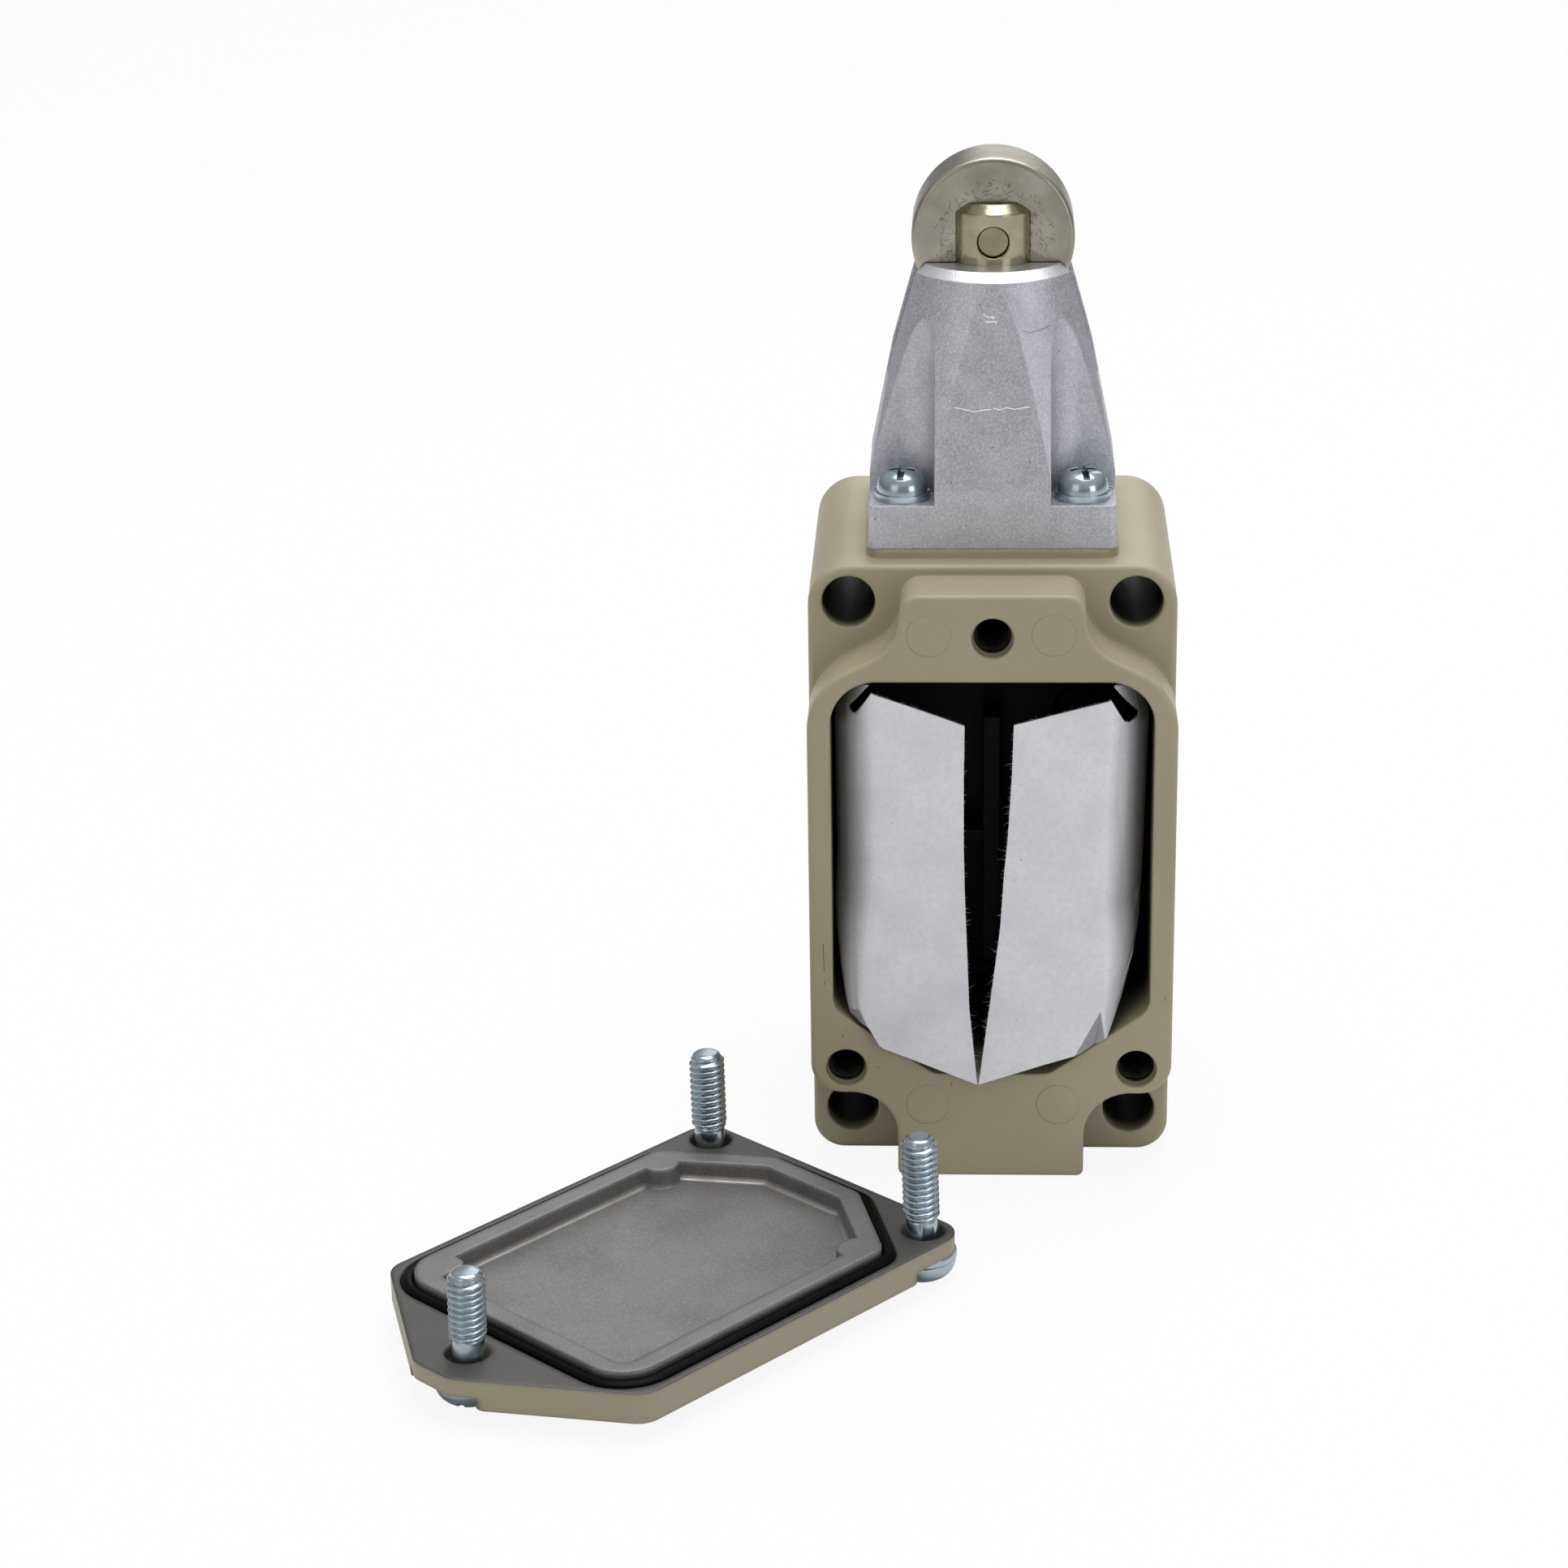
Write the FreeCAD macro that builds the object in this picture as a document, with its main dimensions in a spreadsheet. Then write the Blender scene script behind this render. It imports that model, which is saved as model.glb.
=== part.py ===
import FreeCAD, Part
import math
import os
import Sketcher

# Plunger limit switch: a cast housing with a bolted-on head, a roller plunger that slides
# down through the head, a snap switch inside the housing, and the housing's cover, which
# lies unscrewed beside it with its inner side up.
#
# Frame: origin on the plunger's axis at the foot of the housing, +Z up along the plunger,
# -Y towards the open front, +X to the right. All sizes are millimetres.

SIZES = [
    # Mounting pattern, which drives the housing's width and height
    ("mount_across", 30.2, "mounting holes, side to side"),
    ("mount_up", 58.7, "mounting holes, lower to upper"),
    ("mount_low", 5.0, "lower mounting holes above the foot"),
    ("mount_hole", 5.6, "bore of a mounting hole"),
    # Housing block
    ("side_edge", 4.3, "mounting holes to the housing's sides"),
    ("top_edge", 4.0, "upper mounting holes to the housing's top"),
    ("front_reach", 22.5, "plunger axis to the face that the cover closes"),
    ("back_reach", 16.9, "plunger axis to the back"),
    ("recess_depth", 6.8, "front face to the plane of the mounting holes"),
    ("top_round", 4.5, "rounding of the block's upper corners"),
    ("foot_round", 3.4, "rounding of the block's lower corners"),
    ("side_wall", 2.45, "wall beside the cavity"),
    ("back_wall", 2.6, "wall behind the cavity"),
    ("block_edge", 0.6, "rounding of the block's front and back edges"),
    ("frame_edge", 0.5, "rounding of the raised frame's edges"),
    ("hole_edge", 0.3, "rounding at the mouths of the mounting holes"),
    # Window and cavity
    ("lintel", 10.5, "housing's top to the upper edge of the window"),
    ("window_round", 4.8, "rounding of the window's upper corners"),
    ("window_floor", 12.3, "lower edge of the window"),
    ("floor_half", 6.2, "half of the level part of the window's lower edge"),
    ("slope_rise", 7.6, "rise of the sloping floor to the side walls"),
    ("slope_round", 2.5, "rounding at both ends of the slope"),
    # Raised frame round the window
    ("tab_margin", 1.05, "housing's top to the tab over the window"),
    ("tab_round", 2.2, "rounding of the tab"),
    ("shoulder_rise", 3.8, "frame's shoulder above the window, at the tab"),
    ("shoulder_drop", 1.1, "frame's shoulder below the window's top, at the side"),
    ("shoulder_round", 7.2, "rounding of the shoulder"),
    ("tab_relief", 5.4, "hollow beside the tab, round a mounting screw's head"),
    ("ear_foot", 9.9, "lower edge of the frame's ears"),
    ("ear_round", 3.4, "rounding of the ears"),
    ("boss_relief", 5.05, "hollow beside the boss, round a mounting screw's head"),
    ("boss_round", 0.7, "rounding of the boss at the foot"),
    # Cover screw holes
    ("cover_side", 3.8, "lower cover screws to the housing's sides"),
    ("cover_low", 12.95, "lower cover screws above the foot"),
    ("cover_drop", 5.7, "housing's top to the upper cover screw"),
    ("cover_mouth", 4.4, "bore of the plain mouth before that thread"),
    ("mouth_depth", 1.0, "depth of the plain mouth"),
    ("cover_core_depth", 11.5, "depth of the threaded holes"),
    # Land under the head, well and conduit
    ("land_side", 26.6, "square land that carries the head"),
    ("land_height", 0.9, "land above the top of the housing"),
    ("conduit_bore", 18.63, "core of the conduit thread"),
    ("conduit_chamfer", 0.6, "chamfer at the mouth of the conduit"),
    ("well_bore", 14.6, "bore of the return spring's well"),
    ("well_floor", 60.0, "floor of that well above the foot"),
    # Head casting, heights from its underside
    ("head_side", 26.0, "square foot plate of the head"),
    ("head_plate", 4.75, "thickness of the foot plate"),
    ("tower_height", 28.5, "head's underside to the rim"),
    ("rim_radius", 9.0, "cone's radius below the rim's chamfer"),
    ("rim_chamfer", 0.95, "turned chamfer on the rim"),
    ("cone_foot", 14.9, "cone's radius at the foot plate"),
    ("plate_corner", 0.7, "rounding of the foot plate's corners"),
    ("front_flat", 8.86, "front and back flats' distance from the axis at the rim"),
    ("side_flat", 8.7, "side flats' distance from the axis at the rim"),
    ("flat_kink", 6.4, "height where the flats reach the plate's edge"),
    ("pocket_wall", 6.1, "screw pockets' inner walls from the axis"),
    ("pocket_round", 3.5, "rounding of the screw pockets"),
    ("head_pitch", 19.0, "head screws, side to side and front to back"),
    ("head_thread", 3.0, "head screws' thread"),
    ("head_screw_depth", 8.0, "depth of the screw holes below the land"),
    ("chamber_bore", 14.4, "bore of the head's lower chamber"),
    ("chamber_height", 9.7, "height of that chamber"),
    ("guide_gap", 0.05, "running clearance round the plunger"),
    ("slot_gap", 0.4, "roller to each side of the head's slot"),
    ("lip_rise", 1.3, "groove for the plunger's seal above the chamber"),
    ("lip_width", 1.5, "width of that groove"),
    ("lip_depth", 1.35, "radial depth of that groove"),
    ("seal_land", 1.4, "chamber to the groove of the seal under the head"),
    ("seal_width", 1.6, "width of that seal's groove"),
    ("seal_depth", 1.0, "depth of that seal's groove"),
    # Plunger, roller and pin, heights from the head's underside
    ("plunger_diameter", 10.7, "plunger"),
    ("travel", 7.3, "plunger's full travel"),
    ("collar_gap", 0.3, "clearance round the collar that stops the plunger"),
    ("collar_height", 2.0, "thickness of the collar"),
    ("stop_gap", 0.05, "collar to the chamber's ceiling at rest"),
    ("pin_over_rim", 2.5, "pin's axis above the head's rim"),
    ("ear_over_pin", 3.8, "top of the fork's ears above the pin's axis"),
    ("fork_gap", 0.15, "roller to each ear of the fork"),
    ("fork_chamfer", 0.95, "chamfer on the ears"),
    ("roller_diameter", 17.1, "roller"),
    ("roller_width", 7.0, "roller"),
    ("roller_round", 0.5, "rounding of the roller's rims"),
    ("roller_gap", 0.45, "under the roller to the fork's floor and, pressed, to the head's slot"),
    ("pin_diameter", 3.4, "roller pin"),
    ("pin_gap", 0.04, "running clearance of the roller on its pin"),
    ("pin_fit", 0.02, "pin to its holes in the ears"),
    ("pin_inset", 0.4, "pin's ends below the plunger's side"),
    ("pin_chamfer", 0.2, "chamfer on the pin's ends"),
    ("plunger_wall", 1.6, "wall round the plunger's hollow"),
    ("hollow_roof", 2.1, "web between the hollow and the fork's slot"),
    # Rod and springs under the plunger
    ("rod_diameter", 4.0, "push rod"),
    ("rod_gap", 0.08, "running clearance of the rod"),
    ("flange_gap", 0.2, "clearance round the push rod's flange"),
    ("flange_height", 1.5, "thickness of that flange"),
    ("rod_travel", 2.2, "push rod's full travel"),
    ("retainer_height", 0.8, "ring that holds the rod in the plunger"),
    ("return_room", 0.65, "clearance round the return spring"),
    ("return_wire", 0.9, "wire of the return spring"),
    ("return_turns", 6.5, "turns of the return spring"),
    ("over_room", 0.5, "clearance round the overtravel spring"),
    ("over_wire", 0.7, "wire of the overtravel spring"),
    ("over_turns", 5.0, "turns of the overtravel spring"),
    ("spring_gap", 0.05, "spring's ends to their seats"),
    # Snap switch
    ("switch_side", 3.95, "case of the snap switch to the window's sides"),
    ("floor_room", 6.9, "window's floor to the case"),
    ("head_room", 5.0, "case to the window's top"),
    ("switch_front", 7.0, "plunger axis to the case's front"),
    ("post_height", 2.3, "posts on the back wall that carry the case"),
    ("switch_round", 0.8, "rounding of the case's corners"),
    ("contact_rise", 0.6, "moving contact at rest above the middle of the case"),
    ("bridge_room", 0.4, "moving contact's ends to the contact chamber"),
    ("contact_room", 9.5, "contact chamber below the moving contact"),
    ("contact_drop", 9.0, "contact chamber above the moving contact"),
    ("chamber_front", 3.2, "plunger axis to the contact chamber's front"),
    ("lid_thickness", 1.5, "back lid of the case"),
    ("lid_margin", 1.0, "lid beyond the contact chamber"),
    ("fit_gap", 0.1, "clearance of a part that is pressed or dropped in"),
    ("fix_margin", 3.65, "switch screws to the edges of the case"),
    ("fix_thread", 3.0, "switch screws' thread"),
    ("fix_sink", 2.6, "counterbore of the switch screws"),
    ("fix_bite", 3.4, "switch screws beyond the case"),
    ("post_diameter", 7.0, "posts on the back wall"),
    ("rib_half", 0.9, "half thickness of the middle barrier"),
    ("rib_reach", 6.0, "middle barrier in front of the case"),
    ("rib_margin", 2.4, "case's ends to the middle barrier"),
    ("shelf_half", 0.6, "half thickness of the level barrier"),
    ("shelf_reach", 4.2, "level barrier in front of the case"),
    ("button_diameter", 4.4, "switch button"),
    ("button_gap", 0.15, "push rod to the button at rest"),
    ("button_reserve", 0.55, "button above the case when pressed"),
    ("carrier_side", 6.0, "square carrier under the button"),
    ("carrier_drop", 4.4, "carrier below the moving contact"),
    ("bridge_end", 1.1, "moving contact beyond its tips"),
    ("bridge_width", 3.0, "moving contact"),
    ("bridge_height", 0.8, "thickness of the moving contact"),
    ("tip_diameter", 2.0, "contact tips"),
    ("tip_height", 0.4, "contact tips on the moving contact"),
    ("fixed_tip", 0.5, "contact tips on the terminals"),
    ("contact_gap", 0.05, "upper contacts at rest"),
    ("contact_travel", 1.5, "moving contact's travel"),
    ("lower_gap", 0.1, "moving contact over the lower terminals when pressed"),
    ("bridge_wire", 0.35, "wire of the moving contact's spring"),
    ("bridge_spring_radius", 1.1, "middle radius of that spring"),
    ("window_above", 3.2, "carrier's window above the moving contact"),
    ("window_below", 0.9, "carrier's window below the moving contact"),
    ("button_wire", 0.5, "wire of the button's spring"),
    ("button_spring_radius", 2.0, "middle radius of that spring"),
    ("small_turns", 4.5, "turns of the switch's springs"),
    # Terminals
    ("terminal_edge", 6.0, "terminals to the sides of the case"),
    ("terminal_width", 7.4, "terminal plate"),
    ("terminal_height", 6.9, "terminal plate"),
    ("terminal_plate", 0.8, "thickness of a terminal plate"),
    ("tongue_width", 2.6, "terminal's tongue into the chamber"),
    ("tongue_end", 1.8, "tongue beyond the plunger's axis"),
    ("terminal_thread", 4.0, "terminal screws' thread"),
    ("terminal_bite", 3.0, "terminal screws into the case"),
    # Ground screw
    ("ground_thread", 3.5, "ground screw's thread"),
    ("ground_head", 6.0, "ground screw's head"),
    ("ground_rim", 0.1, "ground screw's washer beyond its head"),
    ("post_rim", 0.2, "ground screw's post beyond its head"),
    ("ground_post", 2.3, "that post in front of the back wall"),
    ("ground_bite", 3.6, "ground screw into its post"),
    # Insulating sheet
    ("sheet_thickness", 0.3, "insulating sheet"),
    ("sheet_gap", 0.2, "sheet to the walls of the cavity"),
    ("sheet_overhang", 0.7, "flaps in front of the housing's face"),
    ("sheet_bend", 4.1, "bend from the sides to the flaps"),
    ("sheet_back_bend", 2.2, "bend from the sides to the back"),
    ("sheet_drop", 1.2, "window's top to the top of the sheet"),
    ("side_foot", 0.9, "foot of the sheet's sides above the slope"),
    ("tip_drop", 1.1, "lowest point of the flaps below the window's floor"),
    ("gap_top_left", 3.05, "left flap's edge at the top, from the middle"),
    ("gap_top_right", 2.25, "right flap's edge at the top, from the middle"),
    ("gap_tip", 1.6, "where the flaps meet, left of the middle"),
    ("gap_close", 0.08, "half of the gap left between the flaps' tips"),
    ("gap_left", 2.95, "left flap's edge where it turns, left of the middle"),
    ("gap_left_rise", 18.2, "that turn above the window's floor"),
    ("gap_right", 2.0, "right flap's edge where it turns, from the middle"),
    ("gap_right_rise", 31.7, "that turn above the window's floor"),
    ("gap_low_right", 0.45, "right flap's lower turn, left of the middle"),
    ("gap_low_rise", 5.7, "that lower turn above the window's floor"),
    ("flap_drop", 4.9, "window's top to the flaps' top at the gap"),
    ("flap_end", 3.55, "where the right flap's top ends, from the window's side"),
    ("flap_end_drop", 2.0, "window's top to that end"),
    ("top_cut", 4.35, "cut-off upper corners of the sheet, from the window's side"),
    ("corner_drop", 5.4, "window's top to the lower end of those corners"),
    ("notch_inset", 1.95, "notch in the flaps' upper corners, from the window's side"),
    ("notch_drop", 3.7, "window's top to that notch's lower end"),
    ("notch_width", 0.8, "that notch"),
    ("notch_length", 2.6, "that notch"),
    ("fold_inset", 2.75, "flaps' lower edge in the fold, from the window's side"),
    ("fold_drop", 1.5, "flaps' lower edge in the fold, below the slope's top"),
    ("flap_inset", 4.65, "flaps' lower edge beside the fold, from the window's side"),
    ("flap_rise", 3.0, "flaps' lower edge beside the fold, above the window's floor"),
    ("flap_low_right", 8.0, "turn in the right flap's lower edge, from the middle"),
    ("flap_step", 0.4, "height of that turn above the window's floor"),
    ("post_gap", 0.5, "sheet round the posts"),
    # Cover
    ("cover_inset", 0.4, "cover's sides inside the housing's"),
    ("cover_thickness", 3.6, "cover plate"),
    ("cover_end", 2.9, "cover beyond its pair of screws"),
    ("cover_round", 3.0, "rounding of the cover's corners"),
    ("taper_drop", 1.35, "where the cover's taper starts, below the window's top"),
    ("tip_half", 2.6, "half width of the cover's tip"),
    ("tip_margin", 4.75, "cover's tip beyond its single screw"),
    ("cover_ear", 1.9, "cover's thickness at its screws"),
    ("ear_recess", 5.8, "radius of the recess round a cover screw"),
    ("cover_hole", 4.6, "cover's screw holes"),
    ("edge_round", 0.8, "rounding of the cover's outer edge"),
    ("plug_gap", 0.35, "cover's raised wall to the window"),
    ("plug_height", 1.0, "raised wall above the cover's face"),
    ("plug_wall", 2.2, "thickness of the raised wall"),
    ("tray_depth", 2.1, "raised wall's top to the tray's floor"),
    ("tray_round", 1.5, "rounding of the tray's corners"),
    ("lug_radius", 2.1, "half-round lugs in the tray"),
    ("lug_place", 8.8, "those lugs from the pair of screws"),
    ("block_inset", 4.75, "block in the tray's corner, from the window's side"),
    ("block_drop", 6.35, "foot of that block below the window's top"),
    ("gasket_margin", 1.15, "gasket's groove outside the window's edge"),
    ("groove_depth", 1.0, "gasket's groove"),
    ("gasket_proud", 0.2, "gasket above the cover's face"),
    ("cover_x", -18.66, "middle of the lying cover's pair of screws, across"),
    ("cover_y", -34.83, "middle of the lying cover's pair of screws, front to back"),
    ("cover_angle", 138.28, "how far the lying cover is turned, degrees"),
    # Fasteners
    ("head_screw_length", 12.0, "head screws under their heads"),
    ("cover_thread", 3.9, "cover screws' thread"),
    ("cover_neck", 3.4, "cover screws' plain neck"),
    ("neck_end", 1.0, "plain neck above the cover's face"),
    ("cover_screw_reach", 10.0, "cover screws above the cover's face"),
    ("cover_head", 8.0, "cover screws' head"),
    ("cover_head_height", 2.4, "cover screws' head"),
    ("cover_washer", 8.4, "cover screws' washers"),
    ("cover_washer_height", 0.9, "cover screws' washers"),
    ("small_head", 5.4, "head and switch screws' heads"),
    ("small_head_height", 2.35, "head and switch screws' heads"),
    ("small_washer", 5.9, "head screws' spring washers"),
    ("small_washer_height", 0.75, "head screws' spring washers"),
    ("terminal_head", 7.0, "terminal and ground screws' heads"),
    ("terminal_head_height", 2.2, "terminal and ground screws' heads"),
    ("terminal_washer", 7.8, "terminal screws' washers"),
    ("terminal_washer_height", 0.8, "terminal and ground screws' washers"),
    ("drive_slot", 0.7, "width of the screws' driving slots"),
    ("head_dome", 0.75, "share of a screw head's height that is rounded"),
    ("drive_depth", 1.1, "depth of those slots"),
    ("screw_gap", 0.03, "screw's thread to its hole"),
    ("hole_gap", 0.2, "screw to a plain hole"),
]

doc = FreeCAD.newDocument("PlungerLimitSwitch")
sheet = doc.addObject("Spreadsheet::Sheet", "Sizes")


class Size:
    """A number that remembers the sheet expression it came from."""

    def __init__(self, number, text):
        self.number = number
        self.text = text

    def __add__(self, other):
        other = size(other)
        return Size(self.number + other.number, f"({self.text} + {other.text})")

    def __sub__(self, other):
        other = size(other)
        return Size(self.number - other.number, f"({self.text} - {other.text})")

    def __mul__(self, other):
        other = size(other)
        return Size(self.number * other.number, f"({self.text} * {other.text})")

    def __truediv__(self, other):
        other = size(other)
        return Size(self.number / other.number, f"({self.text} / {other.text})")

    def __radd__(self, other):
        return size(other) + self

    def __rsub__(self, other):
        return size(other) - self

    def __rmul__(self, other):
        return size(other) * self

    def __neg__(self):
        return Size(-self.number, f"(0 - {self.text})")


def size(value):
    """The value as a Size, whether it is one already or a plain number."""
    if isinstance(value, Size):
        return value
    return Size(float(value), repr(float(value)))


class Names:
    """The sheet's sizes by name."""


N = Names()
for row, (alias, number, meaning) in enumerate(SIZES, start=1):
    sheet.set(f"A{row}", alias)
    sheet.set(f"B{row}", str(number))
    sheet.set(f"C{row}", meaning)
    sheet.setAlias(f"B{row}", alias)
    setattr(N, alias, Size(float(number), f"Sizes.{alias}"))
doc.recompute()


def bind(obj, prop, value):
    """Tie one property to the sheet."""
    obj.setExpression(prop, size(value).text)


def new_body(name):
    body = doc.addObject("PartDesign::Body", name)
    body.Label = name
    return body


def new_sketch(body, role, offset=0):
    """A sketch on one of the body's own planes, moved along that plane's normal."""
    sketch = body.newObject("Sketcher::SketchObject", body.Name + "_sketch")
    plane = next(f for f in body.Origin.OriginFeatures if f.Role == role)
    sketch.AttachmentSupport = (plane, [""])
    sketch.MapMode = "FlatFace"
    bind(sketch, ".AttachmentOffset.Base.z", offset)
    return sketch


def fix_point(sketch, curve, end, x, y):
    """Hold a point of a curve at x, y from the sketch's origin."""
    for kind, value in (("DistanceX", x), ("DistanceY", y)):
        value = size(value)
        index = sketch.addConstraint(Sketcher.Constraint(kind, -1, 1, curve, end, value.number))
        bind(sketch, f"Constraints[{index}]", value)


def draw_circle(sketch, x, y, radius):
    x, y, radius = size(x), size(y), size(radius)
    centre = FreeCAD.Vector(x.number, y.number, 0)
    curve = sketch.addGeometry(Part.Circle(centre, FreeCAD.Vector(0, 0, 1), radius.number))
    fix_point(sketch, curve, 3, x, y)
    index = sketch.addConstraint(Sketcher.Constraint("Radius", curve, radius.number))
    bind(sketch, f"Constraints[{index}]", radius)


def draw_outline(sketch, corners):
    """A closed outline through corners (x, y) or (x, y, rounding), tangent arcs at the rounded ones."""
    corners = [tuple(size(part) for part in (tuple(c) + (0,))[:3]) for c in corners]
    points = [FreeCAD.Vector(x.number, y.number, 0) for x, y, _ in corners]
    count = len(corners)
    starts, ends, arcs = [], [], []
    for i, (_, _, rounding) in enumerate(corners):
        before = (points[i - 1] - points[i]).normalize()
        after = (points[(i + 1) % count] - points[i]).normalize()
        if rounding.number > 0:
            half = before.getAngle(after) / 2
            run = rounding.number / math.tan(half)
            middle = (before + after).normalize() * (rounding.number / math.sin(half))
            first, last = points[i] + before * run, points[i] + after * run
            centre = points[i] + middle
            waist = centre - (before + after).normalize() * rounding.number
            arcs.append(Part.Arc(first, waist, last))
        else:
            first = last = points[i]
            arcs.append(None)
        ends.append(first)
        starts.append(last)
    lines = []
    for i in range(count):
        lines.append(sketch.addGeometry(Part.LineSegment(starts[i], ends[(i + 1) % count])))
    for i, (x, y, rounding) in enumerate(corners):
        line_in, line_out = lines[i - 1], lines[i]
        if arcs[i] is None:
            sketch.addConstraint(Sketcher.Constraint("Coincident", line_in, 2, line_out, 1))
            fix_point(sketch, line_out, 1, x, y)
            continue
        corner = sketch.addGeometry(Part.Point(points[i]), True)
        fix_point(sketch, corner, 1, x, y)
        sketch.addConstraint(Sketcher.Constraint("PointOnObject", corner, 1, line_in))
        sketch.addConstraint(Sketcher.Constraint("PointOnObject", corner, 1, line_out))
        arc = sketch.addGeometry(arcs[i])
        near_start = sketch.getPoint(arc, 1).distanceToPoint(ends[i]) < 1e-6
        end_in, end_out = (1, 2) if near_start else (2, 1)
        sketch.addConstraint(Sketcher.Constraint("Tangent", line_in, 2, arc, end_in))
        sketch.addConstraint(Sketcher.Constraint("Tangent", line_out, 1, arc, end_out))
        index = sketch.addConstraint(Sketcher.Constraint("Radius", arc, rounding.number))
        bind(sketch, f"Constraints[{index}]", rounding)


def pad(body, sketch, length, back=False):
    """Add material along the sketch's normal, or against it."""
    feature = body.newObject("PartDesign::Pad", body.Name + "_pad")
    feature.Profile = sketch
    feature.Reversed = back
    bind(feature, "Length", length)
    sketch.Visibility = False
    return feature


def cut(body, sketch, depth, back=False):
    """Take material away against the sketch's normal, or along it."""
    feature = body.newObject("PartDesign::Pocket", body.Name + "_pocket")
    feature.Profile = sketch
    feature.Reversed = back
    bind(feature, "Length", depth)
    sketch.Visibility = False
    return feature


def turn(body, corners, kind="PartDesign::Revolution"):
    """Revolve a half profile of (radius, height) corners about the body's Z axis."""
    sketch = new_sketch(body, "XZ_Plane")
    draw_outline(sketch, corners)
    feature = body.newObject(kind, body.Name + "_turned")
    feature.Profile = sketch
    feature.ReferenceAxis = (sketch, ["V_Axis"])
    feature.Angle = 360
    sketch.Visibility = False
    return feature


def soften(body, feature, radius, name, chosen):
    """Round the feature's edges that the test picks out."""
    doc.recompute()
    edges = [f"Edge{i}" for i, edge in enumerate(feature.Shape.Edges, start=1) if chosen(edge)]
    fillet = body.newObject("PartDesign::Fillet", name)
    fillet.Base = (feature, edges)
    bind(fillet, "Radius", radius)
    return fillet


def ring_corners(inner, outer, low, high):
    return [(inner, low), (outer, low), (outer, high), (inner, high)]


def box_corners(left, right, low, high, rounding=0):
    return [(left, low, rounding), (right, low, rounding), (right, high, rounding), (left, high, rounding)]


def place(obj, x=0, y=0, z=0, axis=None, angle=0):
    """Put an object at x, y, z, turned about one axis; a turn in Size stays tied to the sheet."""
    if axis is not None:
        obj.Placement = FreeCAD.Placement(FreeCAD.Vector(), FreeCAD.Rotation(axis, size(angle).number))
        if isinstance(angle, Size):
            bind(obj, ".Placement.Rotation.Angle", angle)
    for letter, value in (("x", x), ("y", y), ("z", z)):
        bind(obj, f".Placement.Base.{letter}", value)


ALONG_X = FreeCAD.Vector(1, 0, 0)
ALONG_Y = FreeCAD.Vector(0, 1, 0)
ALONG_Z = FreeCAD.Vector(0, 0, 1)


def copies(name, master, places):
    """One sub-part of several equal pieces: a link to the master at each (x, y, z) or (x, y, z, axis, angle)."""
    links = []
    for number, spot in enumerate(places, start=1):
        link = doc.addObject("App::Link", f"{name}_{number}")
        link.LinkedObject = master
        place(link, *spot)
        links.append(link)
    group = doc.addObject("Part::Compound", name)
    group.Label = name
    group.Links = links
    return group


def coil(name, radius, wire, low, high, turns):
    """A round-wire spring between two heights, each end a gap from its seat."""
    body = new_body(name)
    sketch = new_sketch(body, "XZ_Plane")
    draw_circle(sketch, radius, low + N.spring_gap + wire / 2, wire / 2)
    spring = body.newObject("PartDesign::AdditiveHelix", name + "_helix")
    spring.Profile = sketch
    spring.ReferenceAxis = (sketch, ["V_Axis"])
    spring.Mode = 2
    bind(spring, "Height", high - low - 2 * N.spring_gap - wire)
    bind(spring, "Turns", turns)
    return body


# Places that several parts share: positions from the origin, except where a name says otherwise
FRONT = N.front_reach
RECESS = N.front_reach - N.recess_depth
CAVITY_BACK = N.back_reach - N.back_wall
SWITCH_BACK = CAVITY_BACK - N.post_height
MOUNT_X = N.mount_across / 2
MOUNT_HIGH = N.mount_low + N.mount_up
HALF_WIDTH = MOUNT_X + N.side_edge
BODY_TOP = MOUNT_HIGH + N.top_edge
WINDOW_HALF = HALF_WIDTH - N.side_wall
WINDOW_TOP = BODY_TOP - N.lintel
SLOPE_TOP = N.window_floor + N.slope_rise
HEAD_SEAT = BODY_TOP + N.land_height
COVER_X = HALF_WIDTH - N.cover_side
COVER_HIGH = BODY_TOP - N.cover_drop
MOUNT_SPOTS = [(sign * MOUNT_X, z) for sign in (-1, 1) for z in (N.mount_low, MOUNT_HIGH)]
COVER_SPOTS = [(-COVER_X, N.cover_low), (COVER_X, N.cover_low), (0, COVER_HIGH)]
HEAD_SPOTS = [(a * N.head_pitch / 2, b * N.head_pitch / 2) for a in (-1, 1) for b in (-1, 1)]
COLLAR_LOW = N.chamber_height - N.stop_gap - N.collar_height
PIN_HEIGHT = N.tower_height + N.pin_over_rim
FORK_TOP = PIN_HEIGHT + N.ear_over_pin
SLOT_FLOOR = PIN_HEIGHT - N.travel - N.roller_diameter / 2 - N.roller_gap
FORK_FLOOR = PIN_HEIGHT - N.roller_diameter / 2 - N.roller_gap
HOLLOW_RADIUS = N.plunger_diameter / 2 - N.plunger_wall
HOLLOW_TOP = FORK_FLOOR - N.hollow_roof
LIP_LOW = N.chamber_height + N.lip_rise
SEAL_INNER = N.chamber_bore / 2 + N.seal_land
FLANGE_LOW = COLLAR_LOW + N.retainer_height + N.stop_gap
SWITCH_HALF = WINDOW_HALF - N.switch_side
SWITCH_LOW = N.window_floor + N.floor_room
SWITCH_HIGH = WINDOW_TOP - N.head_room
CONTACT = (SWITCH_LOW + SWITCH_HIGH) / 2 + N.contact_rise
CHAMBER_LOW = CONTACT - N.contact_room
CHAMBER_HIGH = CONTACT + N.contact_drop
TERMINAL_X = SWITCH_HALF - N.terminal_edge
BRIDGE_HALF = TERMINAL_X + N.bridge_end
CHAMBER_HALF = BRIDGE_HALF + N.bridge_room
FIX_X = SWITCH_HALF - N.fix_margin
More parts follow.
